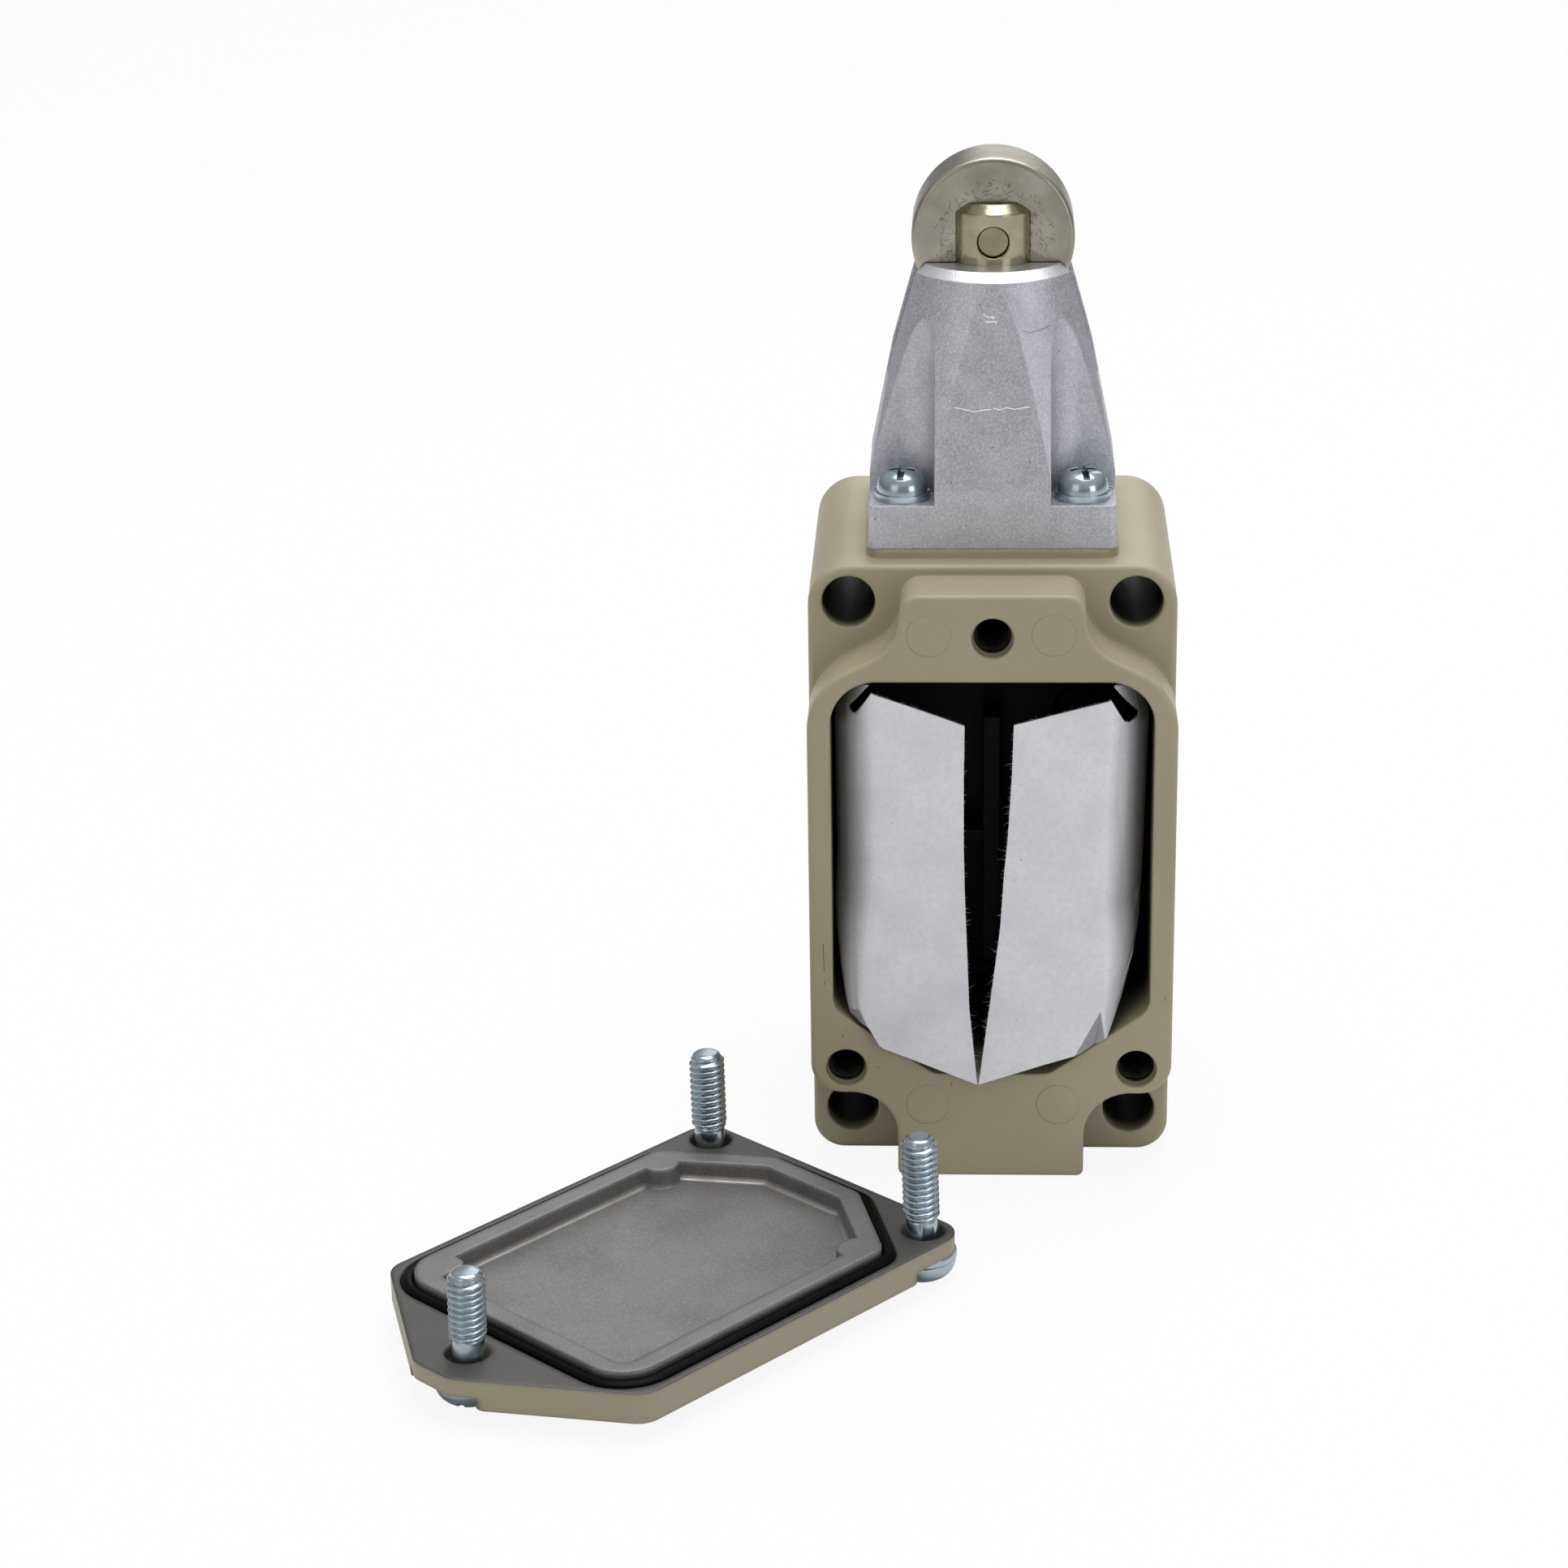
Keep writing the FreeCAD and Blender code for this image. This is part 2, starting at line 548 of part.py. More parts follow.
FIX_SPOTS = [(FIX_X, SWITCH_HIGH - N.fix_margin), (-FIX_X, SWITCH_LOW + N.fix_margin)]
GROUND_Z = (N.window_floor + SWITCH_LOW) / 2
ROD_LOW = SWITCH_HIGH + N.rod_travel + N.button_reserve + N.button_gap
UPPER_FACE = CONTACT + N.bridge_height / 2 + N.tip_height + N.contact_gap
LOWER_FACE = CONTACT - N.bridge_height / 2 - N.tip_height - N.contact_travel - N.lower_gap
UPPER_SCREW = UPPER_FACE + N.fixed_tip + N.terminal_height / 2
LOWER_SCREW = LOWER_FACE - N.fixed_tip - N.terminal_height / 2
TERMINAL_SPOTS = [(a * TERMINAL_X, z) for a in (-1, 1) for z in (UPPER_SCREW, LOWER_SCREW)]
COVER_LIFT = N.cover_ear + N.cover_washer_height + N.cover_head_height
COVER_LENGTH = COVER_HIGH - N.cover_low
COVER_HOLES = [(-COVER_X, 0), (COVER_X, 0), (0, COVER_LENGTH)]


def root(value):
    return Size(math.sqrt(value.number), f"sqrt({value.text})")


def window_corners(margin=0, foot=0, top_round=None, slope_round=None):
    """The window's edge moved outward by a margin, with heights counted from foot."""
    top_round = N.window_round + margin if top_round is None else top_round
    slope_round = N.slope_round + margin if slope_round is None else slope_round
    run, rise = WINDOW_HALF - N.floor_half, N.slope_rise
    slope = root(run * run + rise * rise)
    side = WINDOW_HALF + margin
    top = WINDOW_TOP + margin - foot
    floor = N.window_floor - margin - foot
    knee = SLOPE_TOP - margin * (slope - rise) / run - foot
    level = N.floor_half + margin * (slope - run) / rise
    right = [(level, floor, slope_round), (side, knee, slope_round), (side, top, top_round)]
    left = [(-x, y, rounding) for x, y, rounding in reversed(right)]
    return right + left


def mirrored(corners):
    """A right half given from bottom to top, closed by its mirror image."""
    return corners + [(-c[0],) + tuple(c[1:]) for c in reversed(corners)]


def make_housing():
    body = new_body("housing")
    block = new_sketch(body, "XZ_Plane", RECESS)
    draw_outline(block, mirrored([(HALF_WIDTH, 0, N.foot_round), (HALF_WIDTH, BODY_TOP, N.top_round)]))
    slab = pad(body, block, RECESS + N.back_reach, back=True)
    soften(body, slab, N.block_edge, "block_edges", lambda edge: edge.BoundBox.YLength < 1e-3)

    frame = new_sketch(body, "XZ_Plane", FRONT)
    boss_half, tab_half = MOUNT_X - N.boss_relief, MOUNT_X - N.tab_relief
    draw_outline(frame, mirrored([
        (boss_half, 0, N.boss_round),
        (boss_half, N.ear_foot, N.boss_relief),
        (HALF_WIDTH, N.ear_foot, N.ear_round),
        (HALF_WIDTH, WINDOW_TOP - N.shoulder_drop, N.shoulder_round),
        (tab_half, WINDOW_TOP + N.shoulder_rise, N.tab_relief),
        (tab_half, BODY_TOP - N.tab_margin, N.tab_round),
    ]))
    raised = pad(body, frame, N.recess_depth + N.block_edge, back=True)
    front = -FRONT.number
    soften(body, raised, N.frame_edge, "frame_edges", lambda edge: edge.BoundBox.YMax < front + 1e-3)

    land = new_sketch(body, "XY_Plane", BODY_TOP)
    half_land = N.land_side / 2
    draw_outline(land, box_corners(-half_land, half_land, -half_land, half_land, N.tab_round))
    pad(body, land, N.land_height)

    cavity = new_sketch(body, "XZ_Plane", FRONT)
    draw_outline(cavity, window_corners())
    cut(body, cavity, FRONT + CAVITY_BACK)

    posts = new_sketch(body, "XZ_Plane", -SWITCH_BACK)
    for x, z in FIX_SPOTS:
        draw_circle(posts, x, z, N.post_diameter / 2)
    pad(body, posts, CAVITY_BACK - SWITCH_BACK, back=True)
    ground = new_sketch(body, "XZ_Plane", N.ground_post - CAVITY_BACK)
    half_boss = N.ground_head / 2 + N.post_rim
    draw_outline(ground, [
        (half_boss, N.window_floor - N.mouth_depth),
        (half_boss, GROUND_Z + half_boss, half_boss * 0.9),
        (-half_boss, GROUND_Z + half_boss, half_boss * 0.9),
        (-half_boss, N.window_floor - N.mouth_depth),
    ])
    pad(body, ground, N.ground_post, back=True)

    mounts = new_sketch(body, "XZ_Plane", RECESS)
    for x, z in MOUNT_SPOTS:
        draw_circle(mounts, x, z, N.mount_hole / 2)
    bores = cut(body, mounts, RECESS + N.back_reach)
    recess, across = -RECESS.number, N.mount_hole.number * math.sqrt(2)

    def is_hole_mouth(edge):
        box = edge.BoundBox
        return abs(box.YMin - recess) < 1e-3 and box.YLength < 1e-3 and abs(box.DiagonalLength - across) < 1e-2

    soften(body, bores, N.hole_edge, "hole_edges", is_hole_mouth)
    for radius, depth in ((N.cover_thread / 2 + N.screw_gap, N.cover_core_depth), (N.cover_mouth / 2, N.mouth_depth)):
        cover_holes = new_sketch(body, "XZ_Plane", FRONT)
        for x, z in COVER_SPOTS:
            draw_circle(cover_holes, x, z, radius)
        cut(body, cover_holes, depth)
    for x, z in FIX_SPOTS:
        fix_hole = new_sketch(body, "XZ_Plane", -SWITCH_BACK)
        draw_circle(fix_hole, x, z, N.fix_thread / 2 + N.screw_gap)
        cut(body, fix_hole, N.fix_bite + N.hole_gap)
    ground_hole = new_sketch(body, "XZ_Plane", N.ground_post - CAVITY_BACK)
    draw_circle(ground_hole, 0, GROUND_Z, N.ground_thread / 2 + N.screw_gap)
    cut(body, ground_hole, N.ground_bite + N.hole_gap)

    conduit = new_sketch(body, "XY_Plane")
    draw_circle(conduit, 0, 0, N.conduit_bore / 2)
    cut(body, conduit, SLOPE_TOP, back=True)
    mouth = N.conduit_bore / 2
    turn(body, [(0, 0), (mouth + N.conduit_chamfer, 0), (mouth, N.conduit_chamfer), (0, N.conduit_chamfer)],
         "PartDesign::Groove")

    well = new_sketch(body, "XY_Plane", HEAD_SEAT)
    draw_circle(well, 0, 0, N.well_bore / 2)
    cut(body, well, HEAD_SEAT - N.well_floor)
    guide = new_sketch(body, "XY_Plane", N.well_floor)
    draw_circle(guide, 0, 0, N.rod_diameter / 2 + N.rod_gap)
    cut(body, guide, N.well_floor - WINDOW_TOP + N.mouth_depth)
    head_holes = new_sketch(body, "XY_Plane", HEAD_SEAT)
    for x, y in HEAD_SPOTS:
        draw_circle(head_holes, x, y, N.head_thread / 2 + N.screw_gap)
    cut(body, head_holes, N.land_height + N.head_screw_depth)
    return body


def make_head():
    body = new_body("head")
    half = N.head_side / 2
    far = N.head_side
    plate = new_sketch(body, "XY_Plane")
    draw_outline(plate, box_corners(-half, half, -half, half, N.plate_corner))
    pad(body, plate, N.head_plate)
    turn(body, [
        (0, N.head_plate), (N.cone_foot, N.head_plate),
        (N.rim_radius, N.tower_height - N.rim_chamfer),
        (N.rim_radius - N.rim_chamfer, N.tower_height), (0, N.tower_height),
    ])
    for role, flat in (("XZ_Plane", N.side_flat), ("YZ_Plane", N.front_flat)):
        flats = new_sketch(body, role, far)
        above = N.tower_height + N.rim_chamfer
        for side in (-1, 1):
            draw_outline(flats, [
                (side * half, N.head_plate), (side * half, N.flat_kink), (side * flat, N.tower_height),
                (side * flat, above), (side * far, above), (side * far, N.head_plate),
            ])
        cut(body, flats, 2 * far)
    for a, b in ((1, 1), (-1, 1), (-1, -1), (1, -1)):
        pocket = new_sketch(body, "XY_Plane", N.head_plate)
        draw_outline(pocket, [
            (a * N.pocket_wall, b * N.pocket_wall, N.pocket_round), (a * far, b * N.pocket_wall),
            (a * far, b * far), (a * N.pocket_wall, b * far),
        ])
        cut(body, pocket, N.tower_height, back=True)

    chamber = new_sketch(body, "XY_Plane")
    draw_circle(chamber, 0, 0, N.chamber_bore / 2)
    cut(body, chamber, N.chamber_height, back=True)
    bore_radius = N.plunger_diameter / 2 + N.guide_gap
    bore = new_sketch(body, "XY_Plane")
    draw_circle(bore, 0, 0, bore_radius)
    cut(body, bore, N.tower_height, back=True)
    slot = new_sketch(body, "YZ_Plane", far)
    half_slot = N.roller_width / 2 + N.slot_gap
    draw_outline(slot, box_corners(-half_slot, half_slot, SLOT_FLOOR, N.tower_height + N.rim_chamfer))
    cut(body, slot, 2 * far)
    turn(body, ring_corners(bore_radius / 2, bore_radius + N.lip_depth, LIP_LOW, LIP_LOW + N.lip_width),
         "PartDesign::Groove")
    turn(body, ring_corners(SEAL_INNER, SEAL_INNER + N.seal_width, 0, N.seal_depth),
         "PartDesign::Groove")
    holes = new_sketch(body, "XY_Plane", N.head_plate)
    for x, y in HEAD_SPOTS:
        draw_circle(holes, x, y, N.head_thread / 2 + N.hole_gap)
    cut(body, holes, N.head_plate)
    place(body, z=HEAD_SEAT)
    return body


def make_plunger():
    body = new_body("plunger")
    radius, collar = N.plunger_diameter / 2, N.chamber_bore / 2 - N.collar_gap
    turn(body, [
        (0, COLLAR_LOW), (collar, COLLAR_LOW), (collar, COLLAR_LOW + N.collar_height),
        (radius, COLLAR_LOW + N.collar_height), (radius, FORK_TOP - N.fork_chamfer),
        (radius - N.fork_chamfer, FORK_TOP), (0, FORK_TOP),
    ])
    hollow = new_sketch(body, "XY_Plane", COLLAR_LOW)
    draw_circle(hollow, 0, 0, HOLLOW_RADIUS)
    cut(body, hollow, HOLLOW_TOP - COLLAR_LOW, back=True)
    fork = new_sketch(body, "YZ_Plane", N.plunger_diameter)
    half_slot = N.roller_width / 2 + N.fork_gap
    draw_outline(fork, box_corners(-half_slot, half_slot, FORK_FLOOR, FORK_TOP + N.fork_chamfer))
    cut(body, fork, 2 * N.plunger_diameter)
    pin_hole = new_sketch(body, "XZ_Plane", N.plunger_diameter)
    draw_circle(pin_hole, 0, PIN_HEIGHT, N.pin_diameter / 2 + N.pin_fit)
    cut(body, pin_hole, 2 * N.plunger_diameter)
    place(body, z=HEAD_SEAT)
    return body


def make_roller():
    body = new_body("roller")
    inner, outer = N.pin_diameter / 2 + N.pin_gap, N.roller_diameter / 2
    half, rounding = N.roller_width / 2, N.roller_round
    turn(body, [(inner, -half), (outer, -half, rounding), (outer, half, rounding), (inner, half)])
    place(body, z=HEAD_SEAT + PIN_HEIGHT, axis=ALONG_X, angle=90)
    return body


def make_pin():
    body = new_body("roller_pin")
    half, radius, slant = N.plunger_diameter / 2 - N.pin_inset, N.pin_diameter / 2, N.pin_chamfer
    turn(body, [
        (0, -half), (radius - slant, -half), (radius, slant - half),
        (radius, half - slant), (radius - slant, half), (0, half),
    ])
    place(body, z=HEAD_SEAT + PIN_HEIGHT, axis=ALONG_X, angle=90)
    return body


def make_retainer():
    body = new_body("rod_retainer")
    turn(body, ring_corners(N.rod_diameter / 2 + N.hole_gap, HOLLOW_RADIUS, COLLAR_LOW,
                            COLLAR_LOW + N.retainer_height))
    place(body, z=HEAD_SEAT)
    return body


def make_rod():
    body = new_body("push_rod")
    flange, wide = HEAD_SEAT + FLANGE_LOW, HOLLOW_RADIUS - N.flange_gap
    turn(body, [
        (0, ROD_LOW), (N.rod_diameter / 2, ROD_LOW), (N.rod_diameter / 2, flange),
        (wide, flange), (wide, flange + N.flange_height), (0, flange + N.flange_height),
    ])
    return body


def make_plunger_seal():
    body = new_body("plunger_seal")
    turn(body, ring_corners(N.plunger_diameter / 2 + N.guide_gap / 2, N.plunger_diameter / 2 + N.guide_gap + N.lip_depth,
                            LIP_LOW, LIP_LOW + N.lip_width))
    place(body, z=HEAD_SEAT)
    return body


def make_head_seal():
    body = new_body("head_seal")
    turn(body, ring_corners(SEAL_INNER, SEAL_INNER + N.seal_width, 0, N.seal_depth))
    place(body, z=HEAD_SEAT)
    return body


def make_screw(name, head, head_height, thread, length, crossed=False):
    """A pan-head screw: its seat at height 0, its head above, its thread below."""
    body = new_body(name)
    turn(body, [
        (0, -length), (thread / 2, -length), (thread / 2, 0), (head / 2, 0),
        (head / 2, head_height, head_height * N.head_dome), (0, head_height),
    ])
    half_slot = N.drive_slot / 2
    for wide, narrow in ((head, half_slot), (half_slot, head)) if crossed else ((head, half_slot),):
        slot = new_sketch(body, "XY_Plane", head_height)
        draw_outline(slot, box_corners(-wide, wide, -narrow, narrow))
        cut(body, slot, N.drive_depth)
    return body


def make_washer(name, outer, thread, height, split=False):
    body = new_body(name)
    turn(body, ring_corners(thread / 2 + N.hole_gap, outer / 2, 0, height))
    if split:
        gap = new_sketch(body, "XY_Plane", height)
        draw_outline(gap, box_corners(0, outer, -N.drive_slot / 4, N.drive_slot / 4))
        cut(body, gap, height)
    return body


def make_switch_case():
    body = new_body("switch_case")
    half = SWITCH_HALF
    front = N.switch_front
    depth = N.switch_front + SWITCH_BACK
    block = new_sketch(body, "XZ_Plane", front)
    draw_outline(block, box_corners(-half, half, SWITCH_LOW, SWITCH_HIGH, N.switch_round))
    pad(body, block, depth, back=True)
    barrier = new_sketch(body, "XZ_Plane", front + N.rib_reach)
    draw_outline(barrier, box_corners(-N.rib_half, N.rib_half, SWITCH_LOW + N.rib_margin, SWITCH_HIGH - N.rib_margin))
    pad(body, barrier, N.rib_reach, back=True)
    level = (UPPER_FACE + LOWER_FACE) / 2
    wing = TERMINAL_X + N.terminal_width / 2
    shelf = new_sketch(body, "XZ_Plane", front + N.shelf_reach)
    draw_outline(shelf, box_corners(-wing, wing, level - N.shelf_half, level + N.shelf_half))
    pad(body, shelf, N.shelf_reach, back=True)

    chamber = new_sketch(body, "XZ_Plane", -SWITCH_BACK)
    draw_outline(chamber, box_corners(-CHAMBER_HALF, CHAMBER_HALF, CHAMBER_LOW, CHAMBER_HIGH))
    cut(body, chamber, SWITCH_BACK + N.chamber_front, back=True)
    recess = new_sketch(body, "XZ_Plane", -SWITCH_BACK)
    edge = CHAMBER_HALF + N.lid_margin
    draw_outline(recess, box_corners(-edge, edge, CHAMBER_LOW - N.lid_margin, CHAMBER_HIGH + N.lid_margin))
    cut(body, recess, N.lid_thickness, back=True)
    stem = new_sketch(body, "XY_Plane", SWITCH_HIGH)
    draw_circle(stem, 0, 0, N.button_diameter / 2 + N.rod_gap)
    cut(body, stem, SWITCH_HIGH - CHAMBER_HIGH)

    slots = new_sketch(body, "XZ_Plane", front)
    half_slot = N.tongue_width / 2 + N.fit_gap
    for place_x in (-TERMINAL_X, TERMINAL_X):
        for face, way in ((UPPER_FACE, 1), (LOWER_FACE, -1)):
            near = face + way * (N.fixed_tip - N.fit_gap)
            far = face + way * (N.fixed_tip + N.terminal_plate + N.fit_gap)
            draw_outline(slots, box_corners(place_x - half_slot, place_x + half_slot, near, far))
    cut(body, slots, N.switch_front - N.chamber_front)
    screws = new_sketch(body, "XZ_Plane", front)
    for x, z in TERMINAL_SPOTS:
        draw_circle(screws, x, z, N.terminal_thread / 2 + N.screw_gap)
    cut(body, screws, N.terminal_bite + N.hole_gap)
    sinks = new_sketch(body, "XZ_Plane", front)
    for x, z in FIX_SPOTS:
        draw_circle(sinks, x, z, N.small_head / 2 + N.fit_gap)
    cut(body, sinks, N.fix_sink)
    through = new_sketch(body, "XZ_Plane", front)
    for x, z in FIX_SPOTS:
        draw_circle(through, x, z, N.fix_thread / 2 + N.hole_gap)
    cut(body, through, depth)
    return body


def make_switch_lid():
    body = new_body("switch_lid")
    edge = CHAMBER_HALF + N.lid_margin - N.fit_gap
    low = CHAMBER_LOW - N.lid_margin + N.fit_gap
    high = CHAMBER_HIGH + N.lid_margin - N.fit_gap
    lid = new_sketch(body, "XZ_Plane", -SWITCH_BACK)
    draw_outline(lid, box_corners(-edge, edge, low, high))
    pad(body, lid, N.lid_thickness)
    return body


def make_button():
    body = new_body("switch_button")
    half = N.carrier_side / 2
    low = CONTACT - N.carrier_drop
    high = CHAMBER_HIGH - N.stop_gap
    carrier = new_sketch(body, "XY_Plane", low)
    draw_outline(carrier, box_corners(-half, half, -half, half))
    pad(body, carrier, high - low)
    stem = new_sketch(body, "XY_Plane", high)
    draw_circle(stem, 0, 0, N.button_diameter / 2)
    pad(body, stem, ROD_LOW - N.button_gap - high)
    window = new_sketch(body, "YZ_Plane", N.carrier_side)
    reach = N.bridge_width / 2 + N.fit_gap
    draw_outline(window, box_corners(-reach, reach, CONTACT - N.bridge_height / 2 - N.window_below,
                                     CONTACT + N.bridge_height / 2 + N.window_above))
    cut(body, window, 2 * N.carrier_side)
    return body


def make_bridge():
    body = new_body("contact_bridge")
    low = CONTACT - N.bridge_height / 2
    strip = new_sketch(body, "XY_Plane", low)
    draw_outline(strip, box_corners(-BRIDGE_HALF, BRIDGE_HALF, -N.bridge_width / 2, N.bridge_width / 2))
    pad(body, strip, N.bridge_height)
    tips = new_sketch(body, "XY_Plane", low - N.tip_height)
    for x in (-TERMINAL_X, TERMINAL_X):
        draw_circle(tips, x, 0, N.tip_diameter / 2)
    pad(body, tips, N.bridge_height + 2 * N.tip_height)
    return body


def make_terminal():
    """One fixed contact, its tip's face at height 0 and its plate on the front of the case."""
    body = new_body("terminal")
    face = N.switch_front + N.terminal_plate
    half = N.terminal_width / 2
    plate = new_sketch(body, "XZ_Plane", face)
    draw_outline(plate, box_corners(-half, half, N.fixed_tip, N.fixed_tip + N.terminal_height))
    pad(body, plate, N.terminal_plate, back=True)
    tongue = new_sketch(body, "XY_Plane", N.fixed_tip)
    draw_outline(tongue, box_corners(-N.tongue_width / 2, N.tongue_width / 2, -N.switch_front, N.tongue_end))
    pad(body, tongue, N.terminal_plate)
    tip = new_sketch(body, "XY_Plane")
    draw_circle(tip, 0, 0, N.tip_diameter / 2)
    pad(body, tip, N.fixed_tip)
    hole = new_sketch(body, "XZ_Plane", face)
    draw_circle(hole, 0, N.fixed_tip + N.terminal_height / 2, N.terminal_thread / 2 + N.screw_gap)
    cut(body, hole, N.terminal_plate)
    return body


def make_sheet():
    """The folded insulating sheet that lines the cavity; its two flaps almost close the window."""
    body = new_body("insulating_sheet")
    wall = N.sheet_thickness
    side, back = WINDOW_HALF - N.sheet_gap, CAVITY_BACK - N.sheet_gap
    face = FRONT + N.sheet_overhang
    tip, side_foot = N.window_floor - N.tip_drop, SLOPE_TOP + N.side_foot
    low, top = tip - N.sheet_bend, WINDOW_TOP - N.sheet_drop
    plan = new_sketch(body, "XY_Plane", low)
    for inset in (0, wall):
        bend, back_bend = N.sheet_bend - inset, N.sheet_back_bend - inset
        draw_outline(plan, [
            (inset - side, inset - face, bend), (side - inset, inset - face, bend),
            (side - inset, back - inset, back_bend), (inset - side, back - inset, back_bend),
        ])
    pad(body, plan, top - low)

    folded = N.sheet_bend - face
    legs = new_sketch(body, "YZ_Plane", 2 * side)
    draw_outline(legs, box_corners(folded, 2 * back, low - wall, side_foot))
    cut(body, legs, 4 * side)
    far, depth = 2 * side, 2 * N.sheet_bend
    start = face + N.sheet_bend
    foot = new_sketch(body, "XZ_Plane", start)
    fold_x, fold_z = WINDOW_HALF - N.fold_inset, SLOPE_TOP - N.fold_drop
    flap_x, flap_z = WINDOW_HALF - N.flap_inset, N.window_floor + N.flap_rise
    draw_outline(foot, [
        (-far, low - wall), (-far, side_foot), (-side, side_foot), (-fold_x, fold_z), (-flap_x, flap_z),
        (-N.gap_tip, tip), (N.flap_low_right, N.window_floor + N.flap_step), (flap_x, flap_z),
        (fold_x, fold_z), (side, side_foot), (far, side_foot), (far, low - wall),
    ])
    cut(body, foot, depth)
    gap = new_sketch(body, "XZ_Plane", start)
    flap_top = WINDOW_TOP - N.flap_drop
    draw_outline(gap, [
        (-N.gap_top_left, 2 * top), (-N.gap_top_left, flap_top), (-N.gap_left, N.window_floor + N.gap_left_rise),
        (-N.gap_tip - N.gap_close, low - wall), (N.gap_close - N.gap_tip, low - wall),
        (-N.gap_low_right, N.window_floor + N.gap_low_rise), (N.gap_right, N.window_floor + N.gap_right_rise),
        (N.gap_top_right, flap_top), (N.gap_top_right, 2 * top),
    ])
    cut(body, gap, depth)
    crest = new_sketch(body, "XZ_Plane", start)
    cut_x, flap_end = WINDOW_HALF - N.top_cut, WINDOW_HALF - N.flap_end
    draw_outline(crest, [
        (-cut_x, top), (-N.gap_top_left, flap_top), (N.gap_top_right, flap_top),
        (flap_end, WINDOW_TOP - N.flap_end_drop), (flap_end, 2 * top), (-cut_x, 2 * top),
    ])
    cut(body, crest, depth)
    for hand in (-1, 1):
        corner = new_sketch(body, "XZ_Plane", start)
        corner_foot = WINDOW_TOP - N.corner_drop
        draw_outline(corner, [
            (hand * far, corner_foot - far + side), (hand * side, corner_foot), (hand * cut_x, top),
            (hand * cut_x, 2 * top), (hand * far, 2 * top),
        ])
        cut(body, corner, 2 * face + 2 * back)
        notch = new_sketch(body, "XZ_Plane", start)
        end_x, end_z = WINDOW_HALF - N.notch_inset, WINDOW_TOP - N.notch_drop
        draw_outline(notch, [
            (hand * end_x, end_z), (hand * (end_x - N.notch_width / 2), end_z - N.notch_width),
            (hand * (end_x - N.notch_length), end_z + N.notch_length),
        ])
        cut(body, notch, depth)
    posts = new_sketch(body, "XZ_Plane", 2 * wall - SWITCH_BACK)
    for x, z in FIX_SPOTS:
        draw_circle(posts, x, z, N.post_diameter / 2 + N.post_gap)
    cut(body, posts, back)
    return body


def make_cover():
    """The cover in its own frame: its pair of screws on the X axis, its inner face at height 0."""
    body = new_body("cover")
    plate = new_sketch(body, "XY_Plane")
    half = HALF_WIDTH - N.cover_inset
    draw_outline(plate, mirrored([
        (half, -N.cover_end, N.cover_round), (half, WINDOW_TOP - N.taper_drop - N.cover_low, N.cover_round),
        (N.tip_half, COVER_LENGTH + N.tip_margin, N.tip_half * 0.9),
    ]))
    slab = pad(body, plate, N.cover_thickness, back=True)
    low = -N.cover_thickness.number
    soften(body, slab, N.edge_round, "cover_edge", lambda edge: edge.BoundBox.ZMax < low + 1e-3)

    plug = new_sketch(body, "XY_Plane")
    draw_outline(plug, window_corners(-N.plug_gap, N.cover_low))
    pad(body, plug, N.plug_height)
    tray = new_sketch(body, "XY_Plane", N.plug_height)
    inset = -N.plug_gap - N.plug_wall
    draw_outline(tray, window_corners(inset, N.cover_low, N.tray_round, N.tray_round))
    cut(body, tray, N.tray_depth)
    lugs = new_sketch(body, "XY_Plane", N.plug_height)
    for hand in (-1, 1):
        draw_circle(lugs, hand * (WINDOW_HALF + inset), N.lug_place, N.lug_radius)
    pad(body, lugs, N.tray_depth, back=True)
    block = new_sketch(body, "XY_Plane", N.plug_height)
    edge = N.plug_gap + N.plug_wall / 2
    left, right = WINDOW_HALF - N.block_inset, WINDOW_HALF - edge
    low, high = WINDOW_TOP - N.block_drop - N.cover_low, WINDOW_TOP - edge - N.cover_low
    draw_outline(block, [
        (left, low, N.tray_round), (right, low), (right, high, N.window_round - edge), (left, high),
    ])
    pad(body, block, N.tray_depth, back=True)

    groove = new_sketch(body, "XY_Plane")
    draw_outline(groove, window_corners(N.gasket_margin, N.cover_low))
    draw_outline(groove, window_corners(-N.plug_gap, N.cover_low))
    cut(body, groove, N.groove_depth)
    recesses = new_sketch(body, "XY_Plane", -N.cover_thickness)
    holes = new_sketch(body, "XY_Plane")
    for x, y in COVER_HOLES:
        draw_circle(recesses, x, y, N.ear_recess)
        draw_circle(holes, x, y, N.cover_hole / 2)
    cut(body, recesses, N.cover_thickness - N.cover_ear, back=True)
    cut(body, holes, N.cover_thickness)
    return body


def make_gasket():
    body = new_body("cover_gasket")
    ring = new_sketch(body, "XY_Plane", -N.groove_depth)
    draw_outline(ring, window_corners(N.gasket_margin - N.fit_gap / 2, N.cover_low))
    draw_outline(ring, window_corners(N.fit_gap / 2 - N.plug_gap, N.cover_low))
    pad(body, ring, N.groove_depth + N.gasket_proud)
    return body


def lay_cover(obj):
    """Put something that was made in the cover's frame where the cover lies."""
    place(obj, N.cover_x, N.cover_y, COVER_LIFT, ALONG_Z, N.cover_angle)


make_housing()
make_head()
make_plunger()
make_roller()
make_pin()
make_retainer()
make_rod()
make_plunger_seal()
make_head_seal()
collar = HEAD_SEAT + COLLAR_LOW
coil("return_spring", (N.well_bore - N.return_wire) / 2 - N.return_room, N.return_wire, N.well_floor, collar, N.return_turns)
coil("overtravel_spring", HOLLOW_RADIUS - N.over_wire / 2 - N.over_room, N.over_wire, HEAD_SEAT + FLANGE_LOW + N.flange_height,
     HEAD_SEAT + HOLLOW_TOP, N.over_turns)

